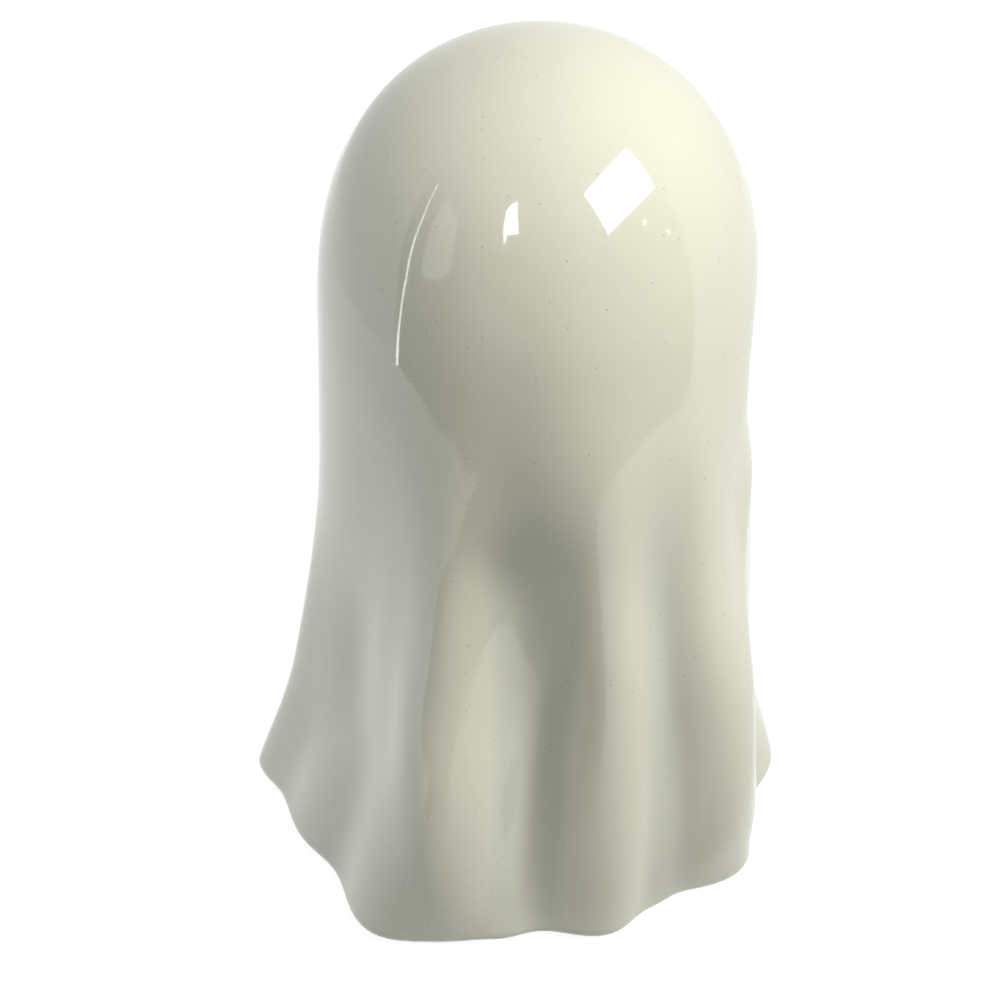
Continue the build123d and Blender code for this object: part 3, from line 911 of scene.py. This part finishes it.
    def front(self, side: Side, x: np.ndarray, height: np.ndarray) -> np.ndarray:
        """Points on the front of a face of the wall, seen at given places.

        Args:
            side: Which face.
            x: Places across, from the body's axis.
            height: Heights above the hem.

        Returns:
            One row for each point.
        """
        low, high = (np.full(x.shape, limit) for limit in self.front_span)
        for _ in range(self.halvings):
            middle = (low + high) / 2.0
            short = self.radius(side, middle, height) * np.cos(np.radians(middle)) < x
            low, high = np.where(short, middle, low), np.where(short, high, middle)
        return self.surface(side, (low + high) / 2.0, height)

    def rows(self) -> np.ndarray:
        """Heights of the grid's rows on the outside, from the crown down to the hem's roll."""
        shoulder = self.height - self.dome_height
        turn = np.linspace(math.acos(self.crown_radius / self.head_radius), 0.0, self.dome_samples)
        rise = shoulder + self.dome_height * np.sin(turn) ** (2.0 / self.dome_power)
        steps = np.hypot(np.diff(rise), np.diff(self.head_radius * np.cos(turn)))
        path = np.concatenate([[0.0], np.cumsum(steps)])
        dome = np.interp(np.linspace(0.0, path[-1], int(path[-1] / self.row_step)), path, rise)
        inside_foot = self.floor_top - self.foot_z
        body = np.linspace(shoulder, inside_foot, int((shoulder - inside_foot) / self.row_step))
        lower = np.linspace(inside_foot, self.hem_roll, self.foot_rows)
        return np.concatenate([dome, body[1:], lower[1:]])

    def window(self, cut: Cutout, rows: np.ndarray) -> Window:
        """Find the block of cells that an opening of the face needs.

        Args:
            cut: The opening.
            rows: Heights of the grid's rows.

        Returns:
            The block.
        """
        reach = float(self.radius(Side.OUTSIDE, np.array(FRONT), np.array(cut.height)))
        half_width = cut.half_width + self.window_margin[0]
        half_height = cut.half_height + self.window_margin[1]
        columns = []
        for x in (cut.x - half_width, cut.x + half_width):
            columns.append((FRONT + math.degrees(math.asin(x / reach))) / FULL_TURN * self.columns)
        above = np.nonzero(rows >= cut.height + half_height)[0]
        below = np.nonzero(rows <= cut.height - half_height)[0]
        return Window(int(above[-1]), int(below[0]), math.floor(columns[0]), math.ceil(columns[1]))

    def build(self) -> bpy.types.Object:
        """Make the whole casting: wall, hem, foot ring, floor, pour hole and face."""
        draft = Draft()
        angle = np.arange(self.columns) * FULL_TURN / self.columns
        rows = self.rows()
        windows = [self.window(cut, rows) for cut in self.face]
        outside = []
        for height in map(np.array, rows):
            points = self.surface(Side.OUTSIDE, angle, height)
            outside.append(draft.ring(points, 0.0, self.pooling_and_shade(angle, height)))
        draft.cap(outside[0], (self.shift, 0.0, self.foot_z + self.height), 0.0)
        self.stitch(draft, outside, windows)
        foot = self.build_foot(draft, outside[-1], angle)
        shoulder = self.height - self.dome_height
        inset = Side.INSIDE.value[0]
        squeeze = (self.dome_height - inset) / self.dome_height
        inner_rows = np.where(rows > shoulder, shoulder + (rows - shoulder) * squeeze, rows)
        inner_rows = inner_rows[:1 - self.foot_rows]
        inside = [draft.ring(self.surface(Side.INSIDE, angle, np.array(h)), 1.0) for h in inner_rows]
        self.stitch(draft, inside, windows)
        draft.bridge(foot, inside[-1])
        draft.cap(inside[0], (self.shift, 0.0, self.foot_z + self.height - inset), 1.0)
        for cut, window in zip(self.face, windows):
            self.build_cutout(draft, cut, window, outside, inside)
        return draft.mesh("ghost_casting", self.sharp_above)

    def stitch(self, draft: Draft, rings: Sequence[np.ndarray], windows: Sequence[Window]) -> None:
        """Join the rows of a face of the wall, leaving the windows open.

        Args:
            draft: What the faces go into.
            rings: Numbers of the points of each row.
            windows: Blocks of cells without faces.
        """
        for row in range(len(rings) - 1):
            left_open: Set[int] = set()
            for window in windows:
                if window.first_row <= row < window.last_row:
                    left_open.update(range(window.first_column, window.last_column))
            draft.bridge(rings[row], rings[row + 1], left_open)

    def build_foot(self, draft: Draft, start: np.ndarray, angle: np.ndarray) -> np.ndarray:
        """Add the hem's roll, the foot ring, the floor and the pour hole.

        Args:
            draft: What the rings go into.
            start: The lowest ring of the outside.
            angle: Directions of the columns.

        Returns:
            The last ring, on top of the floor at the pour hole.
        """
        last = start
        for turn in np.radians(np.linspace(self.roll_start, 0.0, 9)):
            height = self.hem_roll * (1.0 - math.cos(turn))
            drawn = self.hem_roll * (1.0 - math.sin(turn))
            dry = float(np.clip(1.0 - height / self.wiped_height, 0.0, 1.0))
            last = self.carry(draft, last, self.surface(Side.OUTSIDE, angle, np.array(height), drawn), dry)
        recess, hole = self.recess_radius, self.pour_hole_radius
        foot, under, top = self.foot_z, self.floor_under, self.floor_top
        soft = self.edge_round
        bend = self.edge_bend * soft
        section = [
            (recess + soft, foot), (recess + bend, foot + bend), (recess, foot + soft),
            (recess, under - soft), (recess - bend, under - bend), (recess - soft, under),
            ((recess + hole) / 2.0, under),
            (hole + soft, under), (hole + bend, under + bend), (hole, under + soft),
            (hole, top - soft), (hole + bend, top - bend), (hole + soft, top),
        ]
        turn = np.radians(angle)
        for reach, level in section:
            points = [reach * np.cos(turn), reach * np.sin(turn), np.full(turn.shape, level)]
            last = self.carry(draft, last, np.stack(points, axis=-1), 1.0)
        return last

    def build_cutout(self, draft: Draft, cut: Cutout, window: Window, outside: Sequence[np.ndarray],
                     inside: Sequence[np.ndarray]) -> None:
        """Fill a window of the grid with an opening that has a rolled rim.

        Args:
            draft: What the rings go into.
            cut: The opening.
            window: The block of cells that it takes the place of.
            outside: Rings of the outer face.
            inside: Rings of the inner face.
        """
        border = window.border()
        points = np.concatenate(draft.points)
        last = np.array([outside[row][column] for row, column in border])
        inner_last = np.array([inside[row][column] for row, column in border])
        x, height = points[last, 0] - self.shift, points[last, 2] - self.foot_z
        inner_x, inner_height = points[inner_last, 0] - self.shift, points[inner_last, 2] - self.foot_z
        turn = cut.turn_of(x, height)
        rim_x, rim_height = cut.rim(turn, self.rim_round)
        for share in (0.3, 0.55, 0.75, 0.9):
            spot = (x + (rim_x - x) * share, height + (rim_height - height) * share)
            last = self.carry(draft, last, self.front(Side.OUTSIDE, *spot), 0.0)
        for roll in np.radians(np.linspace(0.0, 90.0, 8)):
            spot = cut.rim(turn, self.rim_round * (1.0 - math.sin(roll)))
            ring = self.front(Side.OUTSIDE, *spot)
            ring[:, 1] += self.rim_round * (1.0 - math.cos(roll))
            last = self.carry(draft, last, ring, 0.0)
        edge = cut.rim(turn, 0.0)
        near, far = ring, self.front(Side.INSIDE, *edge)
        for share, dry in ((0.35, 0.15), (0.7, 0.6), (1.0, 1.0)):
            last = self.carry(draft, last, near + (far - near) * share, dry)
        for share in (0.3, 0.65):
            spot = (edge[0] + (inner_x - edge[0]) * share, edge[1] + (inner_height - edge[1]) * share)
            last = self.carry(draft, last, self.front(Side.INSIDE, *spot), 1.0)
        draft.bridge(last, inner_last)

    @staticmethod
    def carry(draft: Draft, last: np.ndarray, points: np.ndarray, dry: float) -> np.ndarray:
        """Add a ring and join it to the one before it.

        Args:
            draft: What the ring goes into.
            last: Numbers of the ring before it.
            points: Positions of the new ring.
            dry: How free of glaze it is.

        Returns:
            Numbers of the new ring.
        """
        ring = draft.ring(points, dry)
        draft.bridge(last, ring)
        return ring

    def dress(self, piece: bpy.types.Object) -> None:
        """Glaze the casting and let it stand for the solid one."""
        piece.data.materials.append(Glaze().make())
        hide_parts("ghost_shell")
        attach(piece, "figure")


@dataclass
class FeltPads:
    """Four felt discs under the floor, in millimetres."""

    radius: float = 3.5
    top: float = 3.3
    circle: float = 38.879
    count: int = 4
    start: float = 45.0
    columns: int = 56
    round_edge: float = 0.5
    lift: float = 0.02
    bow: float = 0.03
    waist: Tuple[Pair, ...] = ((0.05, 1.2), (0.08, 1.9), (0.04, 2.6))
    shoulder: Pair = (0.06, 0.12)
    ragged: float = 0.035
    waves: Tuple[Triple, ...] = ((5.0, 1.7, 0.4), (13.0, 1.0, 2.9))
    sharp_above: float = 60.0

    def section(self) -> List[Pair]:
        """Radius and level from the middle of the underside round to the middle of the top."""
        flat = self.radius - self.round_edge
        under = [(flat * share, self.lift + self.bow * share) for share in (0.3, 0.6, 0.85)]
        edge = []
        for turn in np.radians(np.linspace(0.0, 90.0, 5)):
            level = self.lift + self.bow + self.round_edge * (1.0 - math.cos(turn))
            edge.append((flat + self.round_edge * math.sin(turn), level))
        sides = [(self.radius - drawn, level) for drawn, level in self.waist]
        drawn, below = self.shoulder
        over = [(self.radius - drawn, self.top - below), (flat, self.top), (flat * 0.5, self.top)]
        return under + edge + sides + over

    def wave(self, turn: np.ndarray, number: int, step: int) -> np.ndarray:
        """Unevenness of one ring of one disc, at angles round it in radians."""
        return sum(np.sin(lobes * turn + disc * number + ring * step) for lobes, disc, ring in self.waves)

    def build(self) -> bpy.types.Object:
        """Make the four discs, each a little uneven as cut felt is."""
        draft = Draft()
        turn = np.arange(self.columns) * 2.0 * math.pi / self.columns
        for number in range(self.count):
            way = math.radians(self.start + FULL_TURN * number / self.count)
            centre = (self.circle * math.cos(way), self.circle * math.sin(way))
            rings = []
            for step, (reach, level) in enumerate(self.section()):
                wave = self.wave(turn, number, step)
                uneven = np.minimum(reach + self.ragged * wave * reach / self.radius, self.radius)
                x, y = centre[0] + uneven * np.cos(turn), centre[1] + uneven * np.sin(turn)
                rings.append(draft.ring(np.stack([x, y, np.full(turn.shape, level)], axis=-1)))
            for one, other in zip(rings, rings[1:]):
                draft.bridge(one, other)
            draft.cap(rings[0], (*centre, 0.0), 0.0)
            draft.cap(rings[-1], (*centre, self.top), 0.0)
        return draft.mesh("felt_discs", self.sharp_above)

    def dress(self, piece: bpy.types.Object) -> None:
        """Give the discs their felt and let them stand for the solid pads."""
        piece.data.materials.append(Felt().make())
        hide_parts("felt_pads")
        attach(piece, "figure")


@dataclass
class Lamp:
    """The battery lamp in the pour hole, whose solids only need their finishes."""

    nodes: Dict[str, bpy.types.Object]

    def finishes(self) -> Dict[str, Finish]:
        """Finish of each solid of the lamp."""
        shell = Moulding("lamp_moulding", (0.79, 0.775, 0.72))
        steel = Metal("zinc_plate", (0.63, 0.64, 0.65), Lay.ALONG_X)
        nickel = Metal("nickel_plate", (0.66, 0.63, 0.57), Lay.ALONG_Z, 0.2)
        return {
            "light_housing": shell,
            "lamp_cover": shell,
            "battery_door": shell,
            "grip_ring": Moulding("milky_silicone", (0.70, 0.70, 0.68), 0.5, 0.00002, 0.12),
            "light_diffuser": Moulding("frosted_diffuser", (0.88, 0.87, 0.83), 0.55, 0.00003, 0.35),
            "cover_screws": steel,
            "door_screw": steel,
            "led": Lens(),
            "led_leads": Metal("tinned_wire", (0.70, 0.70, 0.69), Lay.ALONG_Y, 0.24),
            "circuit_board": SolderMask(),
            "series_resistor": BandedResistor(),
            "switch_body": Metal("stamped_case", (0.64, 0.64, 0.62), Lay.ALONG_X, 0.32),
            "switch_slider": RibbedKnob(),
            "battery_rear": CellSleeve("rear_cell_sleeve", 1.0),
            "battery_front": CellSleeve("front_cell_sleeve", -1.0),
            "positive_contact": nickel,
            "negative_contact": nickel,
            "bridge_contact": nickel,
            "red_wire": Moulding("red_insulation", (0.50, 0.03, 0.025), 0.33),
            "black_wire": Moulding("black_insulation", (0.022, 0.022, 0.024), 0.35),
        }

    def dress(self) -> None:
        """Give each solid its finish, one material for each finish."""
        made: Dict[Finish, bpy.types.Material] = {}
        for name, finish in self.finishes().items():
            if finish not in made:
                made[finish] = finish.make()
            data = self.nodes[name].data
            data.materials.clear()
            data.materials.append(made[finish])
            LOG.info("dressed %s in %s", name, made[finish].name)


@dataclass(frozen=True)
class SoftBox:
    """A rectangular studio light, in metres."""

    name: str
    centre: Triple
    aim: Triple
    across: Triple
    size: Pair
    radiance: float
    tint: Colour = WHITE
    mirrored: bool = True

    def build(self) -> bpy.types.Object:
        """Hang the light, unseen by the camera."""
        data = bpy.data.lights.new(self.name, "AREA")
        data.shape = "RECTANGLE"
        data.size, data.size_y = self.size
        data.energy = self.radiance * self.size[0] * self.size[1] * math.pi
        data.color = self.tint
        back = (Vector(self.centre) - Vector(self.aim)).normalized()
        right = Vector(self.across)
        right = (right - back * right.dot(back)).normalized()
        turned = Matrix((right, back.cross(right), back)).transposed().to_4x4()
        lamp = bpy.data.objects.new(self.name, data)
        lamp.matrix_world = Matrix.Translation(Vector(self.centre)) @ turned
        lamp.visible_camera = False
        lamp.visible_glossy = self.mirrored
        bpy.context.scene.collection.objects.link(lamp)
        return lamp


@dataclass(frozen=True)
class Pane:
    """A bright shape that only the glaze's gloss shows, by its corners in metres."""

    name: str
    radiance: float
    corners: Tuple[Triple, ...]


def quads(rows: int, columns: int) -> List[Tuple[int, ...]]:
    """Faces of an open grid of points, listed row by row."""
    firsts = [row * columns + column for row in range(rows - 1) for column in range(columns - 1)]
    return [(first, first + 1, first + columns + 1, first + columns) for first in firsts]


@dataclass
class Studio:
    """Pale floor, soft light, white surroundings and the camera, in metres, with fades in millimetres."""

    floor_half: float = 4.0
    floor_tint: Colour = (0.24, 0.24, 0.235)
    floor_worn: float = 0.97
    floor_clouds: Cloud = Cloud(30.0, 3.0, 0.3, 0.7, 0.5)
    floor_lift: Colour = (0.90, 0.90, 0.90)
    floor_fade: Pair = (700.0, 250.0)
    ambient: Colour = (0.015, 0.0155, 0.0165)
    card_tint: Colour = (0.22, 0.22, 0.21)
    card_worn: float = 0.85
    card_level: float = 0.002
    card_rings: Tuple[Pair, ...] = ((1.0, 0.002), (1.0, 0.3), (0.95, 0.6), (0.75, 0.9), (0.4, 1.0))
    card_columns: int = 41
    card_turn: Pair = (12.9, 171.4)
    card_fade: Pair = (420.0, 960.0)
    # The edge's middle points reach in as a tongue, a dark sheet whose reflection is painted shade in the
    # back's valley.
    sheet_edge: Tuple[Pair, ...] = (
        (0.333, 0.078), (0.200, 0.245), (0.105, 0.253), (0.075, 0.170), (0.058, 0.092),
        (0.000, 0.092), (-0.045, 0.210), (-0.100, 0.270), (-0.225, 0.280), (-0.406, 0.099))
    tongue_fade: Pair = (150.0, 95.0)
    tongue_sides: Pair = (140.0, 110.0)
    glow_clouds: Cloud = Cloud(20.0, 2.0, 0.3, 0.7)
    gap_line: Tuple[Triple, ...] = (
        (0.300, 0.115, 0.358), (0.300, 0.123, 0.255), (0.300, 0.113, 0.134),
        (0.300, 0.097, 0.072), (0.300, 0.074, 0.012))
    gap_width: Pair = (0.0035, 0.0065)
    gap_radiance: float = 11.0
    gap_dim: float = 0.75
    pane_dim: float = 0.88
    panes: Tuple[Pane, ...] = (
        Pane("far_window", 16.0, (
            (0.1474, 0.4684, 0.6072), (0.1516, 0.5614, 0.4821), (0.2008, 0.5536, 0.4681),
            (0.2206, 0.5804, 0.4228), (0.2154, 0.5359, 0.4844), (0.1985, 0.4859, 0.5589),
            (0.1767, 0.4742, 0.5851))),
        Pane("dim_panel", 1.6, (
            (0.3810, 0.2122, 0.4250), (0.3435, 0.3092, 0.3829), (0.3769, 0.3558, 0.2407),
            (0.4115, 0.3249, 0.2004), (0.4633, 0.2544, 0.1725), (0.4683, 0.2344, 0.1878),
            (0.4299, 0.2233, 0.2939))),
        Pane("small_gleam", 7.0, (
            (-0.4892, 0.2722, 0.4288), (-0.5025, 0.2620, 0.4152),
            (-0.4984, 0.2809, 0.4050), (-0.4849, 0.2913, 0.4184))),
        Pane("side_gleam", 5.0, (
            (-0.5649, 0.1854, 0.3472), (-0.5790, 0.1656, 0.3239),
            (-0.5763, 0.1823, 0.3180), (-0.5630, 0.1974, 0.3422))),
    )
    target: Triple = (0.00415, 0.0, 0.07096)
    distance: float = 0.3465
    elevation: float = 32.0
    roll: float = -0.48
    focal_pixels: float = 1732.6
    frame_pixels: float = 1000.0
    sensor_mm: float = 36.0
    clip_start: float = 0.01
    lights: Tuple[SoftBox, ...] = (
        SoftBox("window_light", (-0.4073, 0.2799, 0.5887), (-0.0148, 0.0303, 0.1491),
                (-0.1944, -0.3564, 0.0332), (0.4073, 0.2282), 16.2, (0.99, 1.0, 0.945)),
        SoftBox("side_fill", (0.38, 0.02, 0.07), (0.03, 0.0, 0.05), (0.0, 1.0, 0.0),
                (0.40, 0.12), 3.8, (0.93, 0.96, 1.0), mirrored=False),
        SoftBox("face_fill", (0.05, -0.80, 0.20), (0.0, 0.0, 0.09), (1.0, 0.0, 0.0),
                (0.50, 0.34), 8.0, (1.0, 0.99, 0.96), mirrored=False),
        SoftBox("top_fill", (0.10, 0.15, 0.85), (0.0, 0.0, 0.10), (1.0, 0.0, 0.0),
                (0.60, 0.60), 1.0, mirrored=False),
        SoftBox("under_fill", (0.0, -0.02, -0.25), (0.0, 0.0, 0.0), (1.0, 0.0, 0.0),
                (0.24, 0.24), 3.0, mirrored=False),
    )

    def build_floor(self) -> bpy.types.Object:
        """Lay the floor: white to the eye, a little less so near the object, and clear from below."""
        half = self.floor_half
        data = bpy.data.meshes.new("floor")
        corners = [(-half, -half, 0.0), (half, -half, 0.0), (half, half, 0.0), (-half, half, 0.0)]
        data.from_pydata(corners, [], [(0, 1, 2, 3)])
        floor = bpy.data.objects.new("floor", data)
        bpy.context.scene.collection.objects.link(floor)
        material, g = new_graph("pale_floor")
        paper = g.mix(g.cloud(self.floor_clouds), self.floor_tint, shaded(self.floor_tint, self.floor_worn))
        matt = g.node("BsdfDiffuse", {"Color": paper})
        x, y, _ = g.axes()
        near = ((x ** 2.0 + y ** 2.0) ** 0.5).rise(*self.floor_fade)
        lift = g.node("Emission", {"Color": g.mix(near, WHITE, self.floor_lift), "Strength": self.seen(g)})
        lit = g.node("AddShader", {0: matt.outputs[0], 1: lift.outputs[0]})
        clear = g.node("BsdfTransparent")
        under = g.node("NewGeometry").outputs["Backfacing"]
        both = g.node("MixShader", {0: under, 1: lit.outputs[0], 2: clear.outputs[0]})
        g.node("OutputMaterial", {"Surface": both.outputs[0]})
        data.materials.append(material)
        floor.visible_shadow = False
        return floor

    @staticmethod
    def seen(g: Graph) -> Value:
        """1 for rays from the camera and for those that gloss and glass send on."""
        path = g.node("LightPath")
        names = ("Is Camera Ray", "Is Glossy Ray", "Is Transmission Ray")
        camera, glossy, through = (Value(g, path.outputs[name]) for name in names)
        return camera.most(glossy).most(through)

    def build_card(self) -> bpy.types.Object:
        """Bend a dark card round the camera's side, with a tongue that fades out towards the object and
        whose reflection is painted shade in the back's deep valley.
        """
        turns = np.radians(np.linspace(*self.card_turn, self.card_columns))
        points = [(reach * math.cos(turn), reach * math.sin(turn), level)
                  for reach, level in self.card_rings for turn in turns]
        faces = quads(len(self.card_rings), self.card_columns)
        inner = len(points)
        points += [(x, y, self.card_level) for x, y in self.sheet_edge]
        faces.append((*range(self.card_columns), *range(len(points) - 1, inner - 1, -1)))
        material, g = new_graph("card_grey")
        x, y, level = g.axes()
        shade = g.mix(g.noise(6.0, 2.0), self.card_tint, shaded(self.card_tint, self.card_worn))
        shade = g.mix(level.rise(*self.card_fade), shade, self.floor_lift)
        # Painted shade: the tongue darkens the valley's gloss and fades out at its end.
        shade_tongue_end = y.rise(*self.tongue_fade) * abs(x).rise(*self.tongue_sides)
        shade = g.mix(shade_tongue_end, shade, self.floor_lift)
        return self.hang("dark_card", points, faces, material, g, shade, 1.0)

    def build_gap(self) -> bpy.types.Object:
        """Stand the narrow bright gap beside the card, wider towards its foot."""
        points = []
        last = len(self.gap_line) - 1
        narrow, wide = self.gap_width
        for step, (x, y, level) in enumerate(self.gap_line):
            half = (narrow + (wide - narrow) * step / last) / 2.0
            points += [(x, y - half, level), (x, y + half, level)]
        return self.build_glow("bright_gap", points, quads(last + 1, 2), self.gap_radiance, self.gap_dim)

    def build_glow(self, name: str, points: Sequence[Triple], faces: Faces, radiance: float,
                   dim: float) -> bpy.types.Object:
        """Hang a glowing shape, a little uneven in its glow.

        Args:
            name: Name of the shape.
            points: Its corners, in metres.
            faces: Numbers of the corners of each face.
            radiance: How bright it is.
            dim: Share of that which is left where it is dimmest.

        Returns:
            The linked object.
        """
        material, g = new_graph(name + "_light")
        shade = g.mix(g.cloud(self.glow_clouds), shaded(WHITE, dim), WHITE)
        return self.hang(name, points, faces, material, g, shade, radiance)

    @staticmethod
    def hang(name: str, points: Sequence[Triple], faces: Faces, material: bpy.types.Material, g: Graph,
             shade: Tint, strength: float) -> bpy.types.Object:
        """Make a glowing sheet that only gloss shows.

        Args:
            name: Name of the sheet.
            points: Its corners, in metres.
            faces: Numbers of the corners of each face.
            material: Its material, still without a shader.
            g: The material's graph.
            shade: Colour of its glow.
            strength: How bright the glow is.

        Returns:
            The linked object.
        """
        glow = g.node("Emission", {"Color": shade, "Strength": strength})
        g.node("OutputMaterial", {"Surface": glow.outputs[0]})
        data = bpy.data.meshes.new(name)
        data.from_pydata(points, [], faces)
        data.materials.append(material)
        sheet = bpy.data.objects.new(name, data)
        bpy.context.scene.collection.objects.link(sheet)
        sheet.visible_camera = False
        sheet.visible_diffuse = False
        sheet.visible_shadow = False
        sheet.visible_transmission = False
        return sheet

    def build_world(self) -> None:
        """Make the surroundings white to the eye and plain soft light to the surfaces."""
        world = bpy.data.worlds.new("studio_world")
        world.use_nodes = True
        bpy.context.scene.world = world
        g = Graph(world.node_tree)
        soft = g.node("Background", {"Color": self.ambient, "Strength": 1.0})
        white = g.node("Background", {"Color": WHITE, "Strength": 1.0})
        both = g.node("MixShader", {0: self.seen(g), 1: soft.outputs[0], 2: white.outputs[0]})
        g.node("OutputWorld", {"Surface": both.outputs[0]})

    def build_camera(self) -> bpy.types.Object:
        """Set the camera behind the ghost and above it."""
        tilt, roll = math.radians(self.elevation), math.radians(self.roll)
        ahead = Vector((0.0, -math.cos(tilt), -math.sin(tilt)))
        level = Vector((-1.0, 0.0, 0.0))
        upright = level.cross(ahead)
        right = level * math.cos(roll) - upright * math.sin(roll)
        up = level * math.sin(roll) + upright * math.cos(roll)
        data = bpy.data.cameras.new("camera")
        data.sensor_width = self.sensor_mm
        data.lens = self.sensor_mm * self.focal_pixels / self.frame_pixels
        data.dof.use_dof = False
        data.clip_start = self.clip_start
        camera = bpy.data.objects.new("camera", data)
        turned = Matrix((right, up, -ahead)).transposed().to_4x4()
        camera.matrix_world = Matrix.Translation(Vector(self.target) - ahead * self.distance) @ turned
        bpy.context.scene.collection.objects.link(camera)
        bpy.context.scene.camera = camera
        return camera

    def build(self) -> None:
        """Set up everything round the object."""
        bpy.context.scene.view_settings.view_transform = "Standard"
        made = [self.build_camera(), self.build_floor(), self.build_card(), self.build_gap()]
        for pane in self.panes:
            faces = [tuple(range(len(pane.corners)))]
            made.append(self.build_glow(pane.name, pane.corners, faces, pane.radiance, self.pane_dim))
        made += [light.build() for light in self.lights]
        for thing in made:
            LOG.info("set up %s", thing.name)
        self.build_world()


def main() -> None:
    """Load the frame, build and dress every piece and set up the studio."""
    logging.basicConfig(level=logging.INFO, format="%(message)s")
    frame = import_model()
    for assembly in (Ghost(), FeltPads()):
        piece = assembly.build()
        assembly.dress(piece)
        LOG.info("built %s with %d faces", piece.name, len(piece.data.polygons))
    Lamp(frame["nodes"]).dress()
    Studio().build()
    bpy.context.view_layer.update()


if __name__ == "__main__":
    main()
